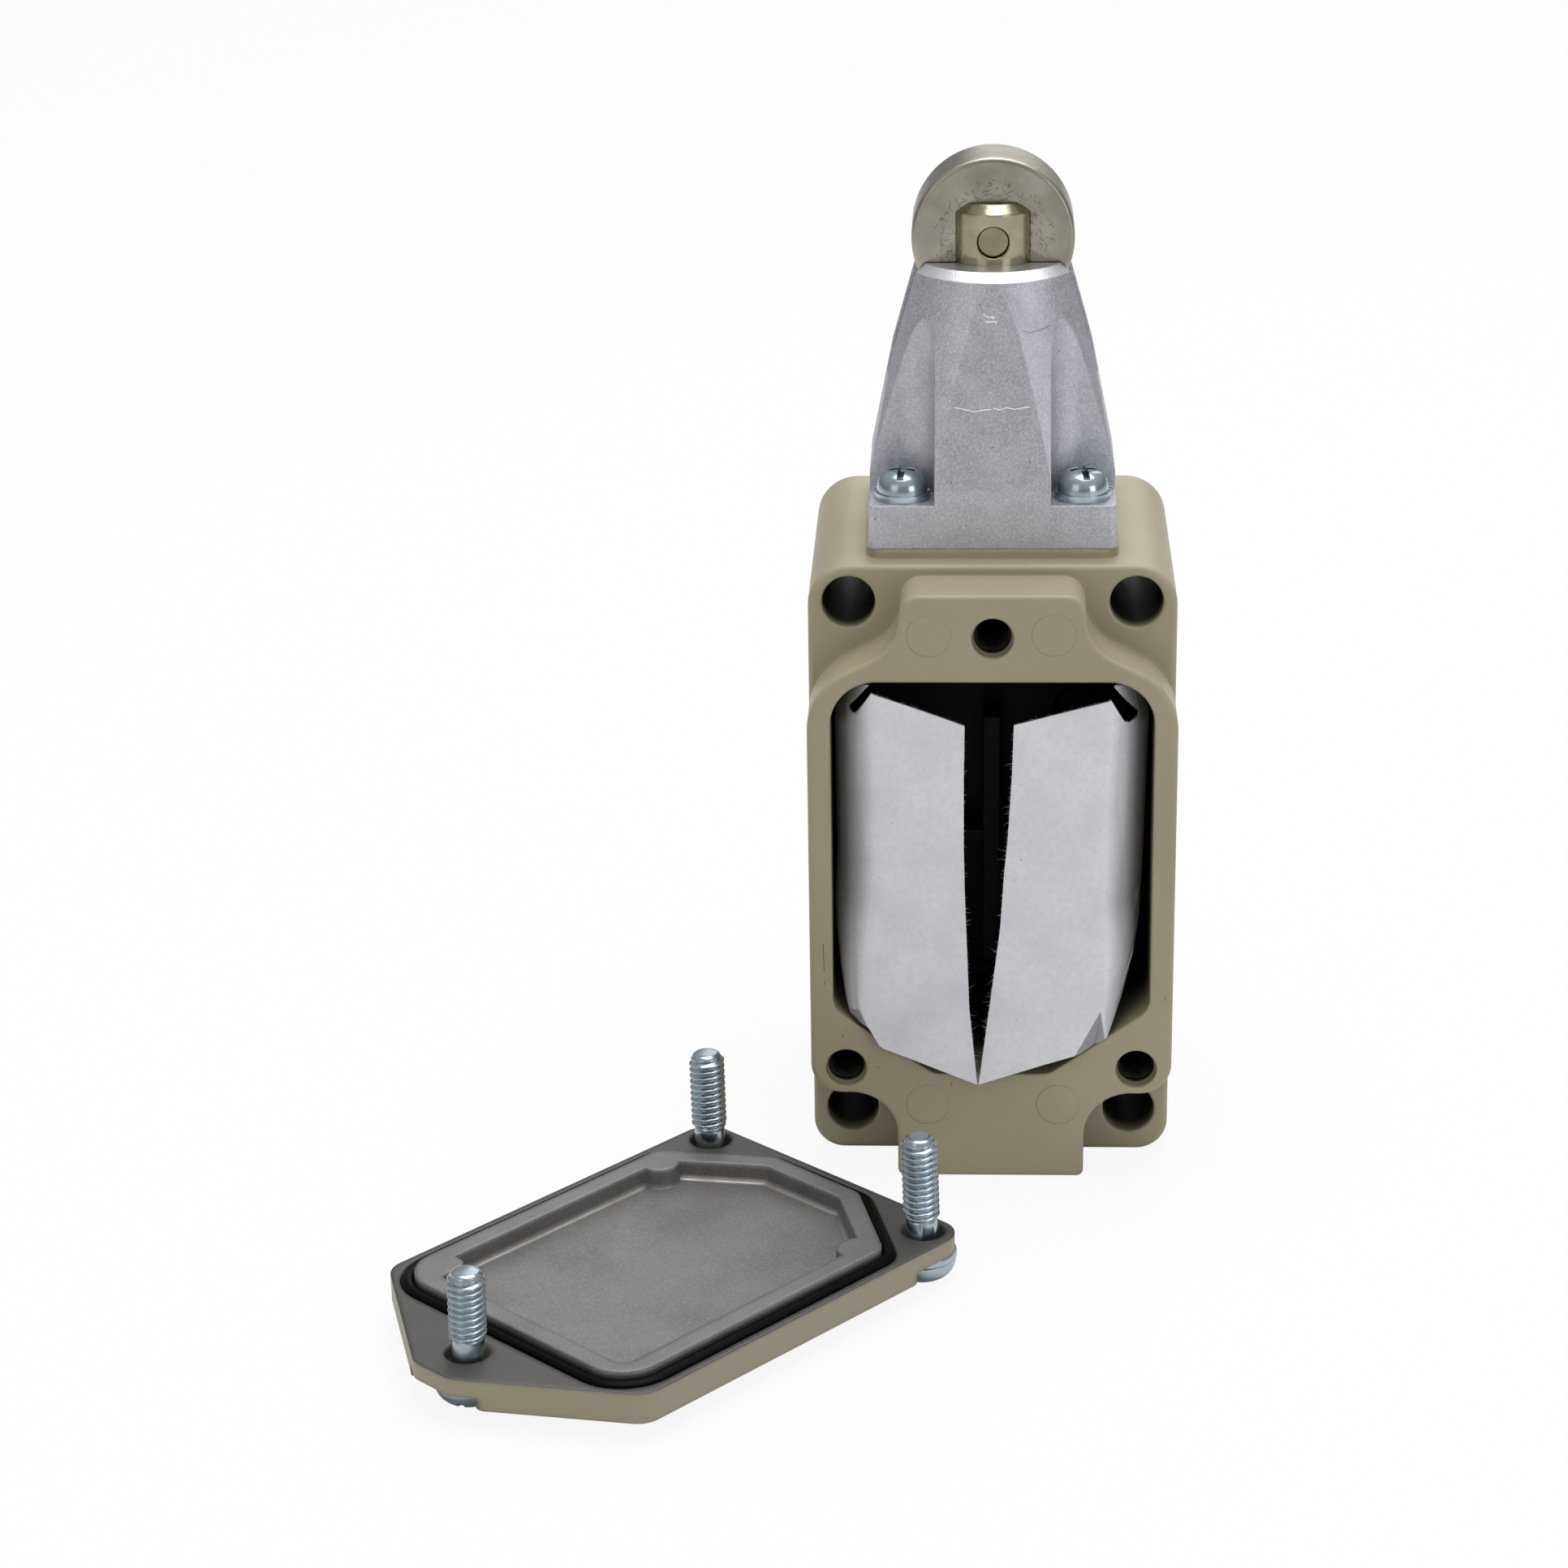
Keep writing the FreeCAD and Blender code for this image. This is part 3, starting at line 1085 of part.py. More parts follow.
head_washer = make_washer("head_washer", N.small_washer, N.head_thread, N.small_washer_height, split=True)
head_screw = make_screw("head_screw", N.small_head, N.small_head_height, N.head_thread, N.head_screw_length, True)
washer_seat = HEAD_SEAT + N.head_plate
copies("head_spring_washers", head_washer, [(x, y, washer_seat) for x, y in HEAD_SPOTS])
copies("head_screws", head_screw, [(x, y, washer_seat + N.small_washer_height) for x, y in HEAD_SPOTS])

make_switch_case()
make_switch_lid()
make_button()
make_bridge()
coil("bridge_spring", N.bridge_spring_radius, N.bridge_wire, CONTACT + N.bridge_height / 2,
     CONTACT + N.bridge_height / 2 + N.window_above, N.small_turns)
coil("button_spring", N.button_spring_radius, N.button_wire, CHAMBER_LOW,
     CONTACT - N.carrier_drop, N.small_turns)
terminal = make_terminal()
copies("nc_terminals", terminal, [(a * TERMINAL_X, 0, UPPER_FACE) for a in (-1, 1)])
copies("no_terminals", terminal, [(a * TERMINAL_X, 0, LOWER_FACE, ALONG_Y, 180) for a in (-1, 1)])
terminal_washer = make_washer("terminal_washer", N.terminal_washer, N.terminal_thread, N.terminal_washer_height)
terminal_screw = make_screw("terminal_screw", N.terminal_head, N.terminal_head_height, N.terminal_thread,
                            N.terminal_washer_height + N.terminal_plate + N.terminal_bite)
plate_face = -(N.switch_front + N.terminal_plate)
copies("terminal_washers", terminal_washer, [(x, plate_face, z, ALONG_X, 90) for x, z in TERMINAL_SPOTS])
copies("terminal_screws", terminal_screw,
       [(x, plate_face - N.terminal_washer_height, z, ALONG_X, 90) for x, z in TERMINAL_SPOTS])
fix_screw = make_screw("switch_screw", N.small_head, N.small_head_height, N.fix_thread,
                       N.switch_front + SWITCH_BACK - N.fix_sink + N.fix_bite)
copies("switch_screws", fix_screw, [(x, N.fix_sink - N.switch_front, z, ALONG_X, 90) for x, z in FIX_SPOTS])
ground_face = CAVITY_BACK - N.ground_post
ground_washer = make_washer("ground_washer", N.ground_head + 2 * N.ground_rim, N.ground_thread, N.terminal_washer_height)
place(ground_washer, 0, ground_face, GROUND_Z, ALONG_X, 90)
ground_screw = make_screw("ground_screw", N.ground_head, N.terminal_head_height, N.ground_thread,
                          N.terminal_washer_height + N.ground_bite)
place(ground_screw, 0, ground_face - N.terminal_washer_height, GROUND_Z, ALONG_X, 90)

make_sheet()
lay_cover(make_cover())
lay_cover(make_gasket())
cover_washer = make_washer("cover_washer", N.cover_washer, N.cover_neck, N.cover_washer_height)
cover_screw = make_screw("cover_screw", N.cover_head, N.cover_head_height, N.cover_neck,
                         N.cover_ear + N.cover_washer_height + N.cover_screw_reach)
thread = new_sketch(cover_screw, "XY_Plane", -(N.cover_ear + N.cover_washer_height + N.neck_end))
draw_circle(thread, 0, 0, N.cover_thread / 2)
pad(cover_screw, thread, N.cover_screw_reach - N.neck_end, back=True)
lay_cover(copies("cover_screw_washers", cover_washer, [(x, y, -N.cover_ear, ALONG_X, 180) for x, y in COVER_HOLES]))
lay_cover(copies("cover_screws", cover_screw,
                 [(x, y, -(N.cover_ear + N.cover_washer_height), ALONG_X, 180) for x, y in COVER_HOLES]))

PARTS = [
    "housing", "head", "plunger", "roller", "roller_pin", "rod_retainer", "push_rod", "return_spring",
    "overtravel_spring", "plunger_seal", "head_seal", "head_screws", "head_spring_washers", "switch_case",
    "switch_lid", "switch_button", "contact_bridge", "bridge_spring", "button_spring", "nc_terminals",
    "no_terminals", "terminal_screws", "terminal_washers", "switch_screws", "ground_screw", "ground_washer",
    "insulating_sheet", "cover", "cover_gasket", "cover_screws", "cover_screw_washers",
]

doc.recompute()
for obj in doc.Objects:
    if "Invalid" in obj.State or "Error" in obj.State:
        raise RuntimeError(f"{obj.Name} did not rebuild: {obj.State}")
    if obj.isDerivedFrom("PartDesign::Pocket") or obj.isDerivedFrom("PartDesign::Groove"):
        if not obj.Shape.Volume < obj.BaseFeature.Shape.Volume - 1e-3:
            raise RuntimeError(f"{obj.Name} takes nothing away")

os.makedirs("parts", exist_ok=True)
for name in PARTS:
    shape = doc.getObject(name).Shape
    if shape.isNull() or not shape.isValid():
        raise RuntimeError(f"{name} has no valid shape")
for name in PARTS:
    part = doc.getObject(name)
    part.Shape.exportStep(os.path.join("parts", part.Label + ".step"))
    print(f"{part.Label}: {len(part.Shape.Solids)} solid(s), {part.Shape.Volume:.1f} cubic mm")
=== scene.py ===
# %% [markdown]
# # A plunger limit switch with its cover taken off
#
# A machine's moving part pushes the roller, the roller pushes the plunger, and the plunger
# works a small switch inside a cast housing. The rigid shapes come ready from the packed
# model. This file gives every surface its finish, adds the fine forms that a casting or a
# screw has close up, and sets the light and the camera.
#
# One unit is one metre, so a size of 0.3 mm is written as 0.3 * MM.

# %% Load the rigid model
import random
from math import cos, hypot, pi, radians, sin, tan

import bmesh
import bpy
from mathutils import Matrix, Vector, noise


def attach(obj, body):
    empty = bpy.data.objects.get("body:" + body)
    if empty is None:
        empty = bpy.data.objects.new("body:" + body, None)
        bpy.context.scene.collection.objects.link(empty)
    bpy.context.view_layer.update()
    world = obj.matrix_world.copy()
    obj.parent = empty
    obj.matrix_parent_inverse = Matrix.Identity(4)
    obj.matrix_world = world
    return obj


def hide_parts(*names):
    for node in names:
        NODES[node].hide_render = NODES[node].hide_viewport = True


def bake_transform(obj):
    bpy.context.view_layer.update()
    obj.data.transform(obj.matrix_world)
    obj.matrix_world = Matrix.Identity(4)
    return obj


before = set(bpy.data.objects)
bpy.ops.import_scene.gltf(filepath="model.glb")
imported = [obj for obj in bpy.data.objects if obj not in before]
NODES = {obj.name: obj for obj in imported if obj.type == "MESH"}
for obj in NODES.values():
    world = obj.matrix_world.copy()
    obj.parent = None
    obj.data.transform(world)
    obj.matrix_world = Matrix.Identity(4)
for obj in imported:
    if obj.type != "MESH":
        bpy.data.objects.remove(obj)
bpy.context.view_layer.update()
MM = 0.001


# %% [markdown]
# ## Colours and nodes
#
# A colour picked from a picture is an sRGB hex value, but the renderer adds up light, so it
# wants linear numbers. One function turns one into the other. One more function adds a
# shader node with its settings and its links, so that a material below reads as a short list
# of steps. A socket is fed either a plain value or what another node gives.

# %% Helpers for materials
def linear(hex_value):
    """An sRGB colour such as "#a39b80" as linear red, green, blue and alpha."""
    channels = [int(hex_value[i:i + 2], 16) / 255 for i in (1, 3, 5)]
    light = [c / 12.92 if c <= 0.04045 else ((c + 0.055) / 1.055) ** 2.4 for c in channels]
    return (*light, 1.0)


def feed(material, socket, value):
    """Give a socket a plain value, or link another node's output to it."""
    if isinstance(value, bpy.types.NodeSocket):
        material.node_tree.links.new(value, socket)
    else:
        socket.default_value = value


def add_node(material, kind, settings=None, inputs=None):
    """Add one node; an input is a plain value or another node's output."""
    node = material.node_tree.nodes.new(kind)
    for name, value in (settings or {}).items():
        setattr(node, name, value)
    for name, value in (inputs or {}).items():
        feed(material, node.inputs[name], value)
    return node


def principled(material):
    """The material's one shader."""
    return material.node_tree.nodes["Principled BSDF"]


def use(material, socket_name, value):
    """Feed one of the shader's sockets."""
    feed(material, principled(material).inputs[socket_name], value)


def new_material(name, metallic=0.0, roughness=0.5, ior=1.5):
    """A material with one Principled shader, and that shader's plain settings."""
    material = bpy.data.materials.new(name)
    material.use_nodes = True
    use(material, "Metallic", metallic)
    use(material, "Roughness", roughness)
    use(material, "IOR", ior)
    return material


# %% [markdown]
# Patterns are tied to the piece itself through its object coordinates, which are metres here.
# A noise with a scale of 1000 therefore has bumps about 1 mm apart. Four small recipes serve
# all the finishes: a noise of a real size in millimetres, a mix of two colours, a value
# spread over a new range, and a rounded normal, which makes sharp modelled edges catch the
# light as worn or moulded edges do. The short functions after them do arithmetic on values
# and on coordinates. With those a finish can depend on where a point is, such as in a bore.

# %% Recipes that every finish uses
def grain(material, size_mm, detail=2.0, roughness=0.5, stretch=(1, 1, 1), warp=0.0):
    """Noise whose lumps are about size_mm apart, as a value from 0 to 1."""
    place = add_node(material, "ShaderNodeTexCoord").outputs["Object"]
    scaled = add_node(material, "ShaderNodeMapping", {}, {"Vector": place, "Scale": stretch}).outputs[0]
    return add_node(material, "ShaderNodeTexNoise", {}, {
        "Vector": scaled, "Scale": 1 / (size_mm * MM), "Detail": detail, "Roughness": roughness,
        "Distortion": warp,
    }).outputs["Fac"]


def spread(material, value, low, high, to_low=0.0, to_high=1.0):
    """Stretch the part of a value between low and high over a new range."""
    return add_node(material, "ShaderNodeMapRange", {"clamp": True}, {
        "Value": value, "From Min": low, "From Max": high, "To Min": to_low, "To Max": to_high,
    }).outputs[0]


def blend_colours(material, share, first, second):
    """first where share is 0, second where it is 1; either may be a hex colour or a socket."""
    first, second = (linear(colour) if isinstance(colour, str) else colour for colour in (first, second))
    mix = add_node(material, "ShaderNodeMix", {"data_type": "RGBA"}, {0: share, 6: first, 7: second})
    return mix.outputs[2]


def surface(material, height, depth_mm, edge_mm):
    """Raise the surface by a height pattern, over edges rounded by edge_mm."""
    rounded = add_node(material, "ShaderNodeBevel", {"samples": 6}, {"Radius": edge_mm * MM}).outputs[0]
    bump = add_node(material, "ShaderNodeBump", {}, {
        "Height": height, "Distance": depth_mm * MM, "Strength": 1.0, "Normal": rounded,
    })
    use(material, "Normal", bump.outputs[0])


def calculate(material, operation, first, second=0.0):
    """One step of arithmetic on numbers or on other nodes' outputs."""
    return add_node(material, "ShaderNodeMath", {"operation": operation}, {0: first, 1: second}).outputs[0]


def product(material, first, *others):
    """Values multiplied with each other, as masks are when all of them must hold."""
    for other in others:
        first = calculate(material, "MULTIPLY", first, other)
    return first


def distance(material, first, second):
    """How far apart two points are, from their offsets along two axes."""
    squares = [product(material, offset, offset) for offset in (first, second)]
    return calculate(material, "SQRT", calculate(material, "ADD", *squares))


def axes_of(material, kind="Object"):
    """X, Y and Z of a point in its piece's own coordinates, or of another kind of vector."""
    vector = add_node(material, "ShaderNodeTexCoord").outputs[kind]
    return add_node(material, "ShaderNodeSeparateXYZ", {}, {0: vector}).outputs


# %% [markdown]
# ## Stoved enamel on a die casting
#
# The housing and the outside of the cover are aluminium die castings under a beige-grey
# stoved enamel. The enamel is a satin film, a fraction of a millimetre thick: it softens every
# edge, it has a faint orange peel about a millimetre across, and it is a little darker where
# hands and dust have been. Paint is a dielectric, so metallic stays 0 and the IOR is that of
# most resins, 1.5. Inside the bores and the cavity its colour is darkened to a near black,
# as painted shade for the shade deep in them, and the distance from the bores' axes and from
# the window's plane decides how dark a point is.

# %% The enamel
enamel = new_material("satin_enamel")
peel = grain(enamel, 0.9, detail=1.0)
clouds = grain(enamel, 9.0, detail=4.0)
dust = spread(enamel, grain(enamel, 0.25, detail=2.0), 0.66, 0.72)
tone = blend_colours(enamel, spread(enamel, clouds, 0.35, 0.7), "#9f977d", "#9a9278")
tone = blend_colours(enamel, dust, tone, "#8d866d")
place = axes_of(enamel)
across = calculate(enamel, "ABSOLUTE", place["X"])

# %% Where shade is painted inside the housing
DARK_FROM, DARK_FULL = -21.8, -14.0
CAVITY_BACK, CAVITY_FLOOR = 14.6, 8.0
ROUNDING_X, ROUNDING_Z, ROUNDING = 12.15, 52.7, 4.9
past_side, past_top = [
    calculate(enamel, "MAXIMUM", calculate(enamel, "SUBTRACT", value, limit * MM), 0.0)
    for value, limit in ((across, ROUNDING_X), (place["Z"], ROUNDING_Z))]
dark = product(
    enamel, spread(enamel, place["Y"], DARK_FROM * MM, DARK_FULL * MM),
    calculate(enamel, "LESS_THAN", distance(enamel, past_side, past_top), ROUNDING * MM),
    calculate(enamel, "LESS_THAN", place["Y"], CAVITY_BACK * MM),
    calculate(enamel, "GREATER_THAN", place["Z"], CAVITY_FLOOR * MM))

# Each bore has its axis at x and z, its radius, and how deep in it the painted shade on its wall starts
# and ends.
BORES = [(15.1, 5.0, 2.9, -15.9, 30.0), (15.1, 63.7, 2.9, -15.9, 30.0),
         (15.6, 12.95, 2.28, -22.4, -9.0), (0.0, 62.0, 2.28, -22.4, -9.0)]
SOFT_RIM, SOFT_MOUTH = 0.12, 2.6
for x, z, radius, mouth, end in BORES:
    from_axis = distance(enamel, calculate(enamel, "SUBTRACT", across, x * MM),
                         calculate(enamel, "SUBTRACT", place["Z"], z * MM))
    in_bore = product(
        enamel, spread(enamel, from_axis, radius * MM, (radius + SOFT_RIM) * MM, 1.0, 0.0),
        spread(enamel, place["Y"], mouth * MM, (mouth + SOFT_MOUTH) * MM),
        calculate(enamel, "LESS_THAN", place["Y"], end * MM))
    dark = calculate(enamel, "MAXIMUM", dark, in_bore)
# The near black is painted shade, for the shade inside the cavity and the bores.
use(enamel, "Base Color", blend_colours(enamel, dark, tone, "#24211b"))
use(enamel, "Roughness", spread(enamel, clouds, 0.3, 0.7, 0.4, 0.45))
surface(enamel, peel, 0.012, edge_mm=0.45)

# %% [markdown]
# ## Aluminium as it leaves the die
#
# The head is not painted. Its skin froze against a steel die, so it is a light grey, slightly
# rough metal with a fine sparkle of grains, small pits where gas was caught, and faint flow
# marks. After casting, only its rim was turned on a lathe: there it is brighter and smoother.
# The two finishes are one material, and the height above the rim's edge chooses between them.

# %% The head's casting
RIM_EDGE = 96.15
cast = new_material("die_cast_aluminium", metallic=1.0)
sparkle = grain(cast, 0.24, detail=3.0, roughness=0.7)
flow = grain(cast, 5.0, detail=3.0, warp=1.5)
pits = spread(cast, grain(cast, 0.6, detail=2.0, roughness=0.4), 0.76, 0.79)
shade = blend_colours(cast, spread(cast, flow, 0.3, 0.7), "#bbbbc1", "#adadb4")
shade = blend_colours(cast, spread(cast, sparkle, 0.42, 0.72, 0.0, 0.8), shade, "#e2e2e8")
shade = blend_colours(cast, pits, shade, "#77777c")
turned = spread(cast, axes_of(cast)["Z"], (RIM_EDGE - 0.05) * MM, (RIM_EDGE + 0.05) * MM)
use(cast, "Base Color", blend_colours(cast, turned, shade, "#e2e2e6"))
dull = spread(cast, sparkle, 0.3, 0.7, 0.42, 0.6)
polish = add_node(cast, "ShaderNodeMix", {"data_type": "FLOAT"}, {0: turned, 2: dull, 3: 0.36}).outputs[0]
use(cast, "Roughness", polish)
surface(cast, sparkle, 0.028, edge_mm=0.3)

# %% [markdown]
# ## The bare inside of the cover
#
# Inside, the cover has no enamel: its casting has gone a dull grey, and darker on the flat
# face round the gasket. Outside and round its edge it is painted like the housing. On the
# outer edge the surface faces away from the cover's middle, and it lies below the inner face,
# so these two facts tell where the paint is, with no second mesh.

# %% The cover's two finishes
COVER_MIDDLE = Vector((-34.6, -52.6, 0.0)) * MM
COVER_FACE = 5.2
bare = new_material("bare_die_casting")
fine = grain(bare, 0.2, detail=3.0, roughness=0.7)
stain = grain(bare, 6.0, detail=4.0)
metal = blend_colours(bare, spread(bare, stain, 0.35, 0.68), "#838180", "#777573")
metal = blend_colours(bare, spread(bare, fine, 0.45, 0.75, 0.0, 0.6), metal, "#a5a3a2")


def on_vectors(operation, first, second=(0, 0, 0), output=0):
    """One step of arithmetic on the cover's positions or directions."""
    step = add_node(bare, "ShaderNodeVectorMath", {"operation": operation}, {0: first, 1: second})
    return step.outputs[output]


coords = add_node(bare, "ShaderNodeTexCoord").outputs
outward = on_vectors("MULTIPLY", on_vectors("SUBTRACT", coords["Object"], COVER_MIDDLE), (1, 1, 0))
facing = on_vectors("DOT_PRODUCT", on_vectors("NORMALIZE", outward), coords["Normal"], "Value")
height, upward = axes_of(bare)["Z"], axes_of(bare, "Normal")["Z"]
lowered = spread(bare, height, (COVER_FACE - 0.12) * MM, (COVER_FACE - 0.02) * MM, 1.0, 0.0)
round_edge = product(bare, spread(bare, facing, 0.25, 0.35), lowered)
painted = calculate(bare, "MAXIMUM", round_edge, spread(bare, upward, -0.4, -0.2, 1.0, 0.0))
from_face = calculate(bare, "ABSOLUTE", calculate(bare, "SUBTRACT", height, COVER_FACE * MM))
on_face = product(bare, spread(bare, from_face, 0.1 * MM, 0.16 * MM, 1.0, 0.0),
                  spread(bare, upward, 0.8, 0.95), 0.75)
metal = blend_colours(bare, on_face, metal, "#555452")
use(bare, "Base Color", blend_colours(bare, painted, metal, "#938b75"))
use(bare, "Metallic", spread(bare, painted, 0.0, 1.0, 0.85, 0.0))
use(bare, "Roughness", spread(bare, painted, 0.0, 1.0, 0.55, 0.42))
surface(bare, fine, 0.02, edge_mm=0.8)

# %% [markdown]
# ## Plated steel
#
# Two platings show. The plunger and the roller are turned steel under nickel, which is a
# warm, slightly yellow grey and reflects clearly. The roller carries years of short scratches.
# The fork's ears aren't quite flat, so a broad, shallow curve across them bends what they
# reflect. Screws are zinc plated with a clear passivation that looks faintly blue. Springs
# are drawn wire, left dull. A metal has no IOR to set: its base colour is what it reflects.

# %% Nickel, scratched nickel, zinc and spring wire
def plated(name, colour, second, roughness, scratch_mm=None, edge_mm=0.12):
    """A metal in patches of two colours, with fine unevenness or with long scratches."""
    material = new_material(name, metallic=1.0)
    patches = grain(material, 3.0, detail=4.0)
    share = spread(material, patches, 0.35, 0.7)
    use(material, "Base Color", blend_colours(material, share, colour, second))
    use(material, "Roughness", spread(material, patches, 0.3, 0.7, roughness * 0.8, roughness * 1.3))
    if scratch_mm:
        lines = grain(material, scratch_mm, detail=5.0, roughness=0.8, stretch=(1, 1, 0.25), warp=3.0)
        surface(material, lines, 0.012, edge_mm)
    else:
        surface(material, grain(material, 0.4, detail=2.0), 0.004, edge_mm)
    return material


EAR_CURVE = -45.0
nickel = plated("nickel_plated_steel", "#aca48e", "#968d75", 0.15, edge_mm=0.3)
ear_x = axes_of(nickel)["X"]
fine_bump = principled(nickel).inputs["Normal"].links[0].from_socket
curved = add_node(nickel, "ShaderNodeBump", {}, {
    "Height": product(nickel, ear_x, ear_x, EAR_CURVE), "Distance": 1.0, "Normal": fine_bump})
use(nickel, "Normal", curved.outputs[0])
worn_nickel = plated("scratched_nickel", "#aba598", "#969083", 0.28, scratch_mm=0.3, edge_mm=0.18)
pin_steel = plated("turned_steel", "#a39a84", "#8f876f", 0.3)
zinc = plated("zinc_plated_steel", "#b8c3c9", "#a1adb4", 0.21)
# The threads' dark grey is bare metal darkened with painted shade, for the shade deep in the holes.
shaded_tapped_metal = plated("tapped_aluminium_painted_shade", "#4c4a43", "#3b3a34", 0.5)
black_steel = plated("blackened_steel", "#1d1d1e", "#151516", 0.5)
wire = plated("spring_wire", "#8f8f90", "#77777a", 0.35)

# %% [markdown]
# ## Rubber, mouldings, brass and the insulating sheet
#
# The gasket is black nitrile rubber, with a matt skin that still shows a soft highlight. The
# switch inside is a black phenolic moulding. Its terminals are stamped brass. The sheet that
# lines the cavity is a stiff white fibre board, almost a thick paper: matt, faintly mottled
# where its fibres bunch, with a few specks, and never quite white. Where it bends round to the
# sides its colour is painted grey, the more so the more it faces sideways: painted shade, for
# the shade between the board and the housing's walls.

# %% The other finishes
def moulded(name, colour, second, roughness, ior, size_mm, depth_mm):
    """A moulded plastic or rubber with a faint pattern of a given size."""
    material = new_material(name, ior=ior)
    pattern = grain(material, size_mm, detail=3.0, roughness=0.6)
    share = spread(material, pattern, 0.3, 0.7)
    use(material, "Base Color", blend_colours(material, share, colour, second))
    use(material, "Roughness", spread(material, pattern, 0.3, 0.7, roughness * 0.9, roughness * 1.1))
    surface(material, pattern, depth_mm, edge_mm=0.2)
    return material


rubber = moulded("nitrile_rubber", "#030303", "#050505", 0.35, 1.4, 0.5, 0.004)
use(rubber, "Specular IOR Level", 0.08)
phenolic = moulded("black_phenolic", "#040404", "#070707", 0.5, 1.4, 0.6, 0.004)
use(phenolic, "Specular IOR Level", 0.25)
acetal = moulded("white_acetal", "#dcdbd3", "#d2d1c8", 0.35, 1.48, 1.0, 0.004)
button_red = moulded("moulded_nylon", "#6b1a14", "#5c1510", 0.4, 1.53, 1.0, 0.004)
brass = plated("stamped_brass", "#c9a968", "#b8965a", 0.28)

fibre = new_material("white_fibre_board", roughness=0.85)
mottle = grain(fibre, 0.7, detail=5.0, roughness=0.7)
soft = grain(fibre, 6.0, detail=3.0)
specks = spread(fibre, grain(fibre, 0.45, detail=2.0), 0.745, 0.79)
pale = blend_colours(fibre, spread(fibre, mottle, 0.3, 0.7), "#d6d6d9", "#e3e3e7")
pale = blend_colours(fibre, spread(fibre, soft, 0.4, 0.75, 0.0, 0.6), pale, "#c9c9ce")
pale = blend_colours(fibre, specks, pale, "#a9a8ab")
# Painted shade: the more the board faces sideways, the greyer its colour.
facing_front_for_shade = calculate(fibre, "ABSOLUTE", axes_of(fibre, "Normal")["Y"])
board_colour = blend_colours(fibre, spread(fibre, facing_front_for_shade, 0.95, 0.4, 0.0, 0.95), pale, "#5c5b5a")
surface(fibre, mottle, 0.03, edge_mm=0.05)
print("materials:", sorted(m.name for m in bpy.data.materials))

# %% [markdown]
# ## Dress the rigid pieces
#
# Each piece of the model keeps its shape and takes its finish through its own material slot.
# What has no finish of its own in the list is a screw or a washer, and those are zinc plated.

# %% Give every rigid piece its finish
FINISHES = {
    "housing": enamel, "head": cast, "cover": bare, "plunger": nickel, "roller": worn_nickel,
    "roller_pin": pin_steel, "push_rod": acetal, "switch_button": button_red, "insulating_sheet": fibre,
    "switch_case": phenolic, "switch_lid": phenolic, "cover_gasket": rubber, "plunger_seal": rubber,
    "head_seal": rubber, "nc_terminals": brass, "no_terminals": brass, "contact_bridge": brass,
    "switch_screws": black_steel, "return_spring": wire, "overtravel_spring": wire,
    "bridge_spring": wire, "button_spring": wire,
}
for name, piece in NODES.items():
    piece.data.materials.clear()
    piece.data.materials.append(FINISHES.get(name, zinc))
    for face in piece.data.polygons:
        face.material_index = 0
print("dressed", len(NODES), "pieces")

# %% [markdown]
# ## Meshes from rings
#
# Screws, threads, beads and rings are all made the same way: rings of points that follow each
# other along a path, with faces between neighbours. One function makes those faces and another
# turns points in millimetres into a mesh. Edges sharper than 35 degrees stay crisp and the rest
# are shaded smooth. A piece then rides on a body of the model. More functions cut holes and
# join placed meshes into one piece.

# %% Helpers for meshes
def skin(rings):
    """Points and faces between rings of equal count; a ring of one point closes an end."""
    points, faces = [], []
    for first, second in zip(rings, rings[1:]):
        a, b = len(points), len(points) + len(first)
        points += list(first) + list(second)
        count = max(len(first), len(second))
        for j in range(count):
            k = (j + 1) % count
            if len(first) == 1:
                faces.append((a, b + k, b + j))
            elif len(second) == 1:
                faces.append((a + j, a + k, b))
            else:
                faces.append((a + j, a + k, b + k, b + j))
    return points, faces


def smooth(mesh):
    """Shade a mesh smooth, apart from its sharper edges."""
    mesh.shade_smooth()
    mesh.set_sharp_from_angle(angle=radians(35))


def make_mesh(name, points, faces, material):
    """A clean closed mesh from points in millimetres."""
    mesh = bpy.data.meshes.new(name)
    mesh.from_pydata([Vector(point) * MM for point in points], [], faces)
    cleaned = bmesh.new()
    cleaned.from_mesh(mesh)
    bmesh.ops.remove_doubles(cleaned, verts=cleaned.verts, dist=0.0005 * MM)
    bmesh.ops.recalc_face_normals(cleaned, faces=cleaned.faces)
    cleaned.to_mesh(mesh)
    cleaned.free()
    mesh.materials.append(material)
    smooth(mesh)
    return mesh


def show(name, data):
    """Put an object in the scene."""
    thing = bpy.data.objects.new(name, data)
    bpy.context.collection.objects.link(thing)
    return thing


def add_piece(name, mesh, replaced=()):
    """Show a mesh as a piece of the housing's body, instead of the nodes that it replaces."""
    piece = show(name, mesh)
    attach(piece, "housing_body")
    if replaced:
        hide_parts(*replaced)
    print(name, len(mesh.polygons), "faces")
    return piece


def circle(radius, height, count):
    """A level ring of points; its radius is a number or a function of the angle."""
    ring = []
    for i in range(count):
        angle = 2 * pi * i / count
        r = radius(angle) if callable(radius) else radius
        ring.append((r * cos(angle), r * sin(angle), height))
    return ring


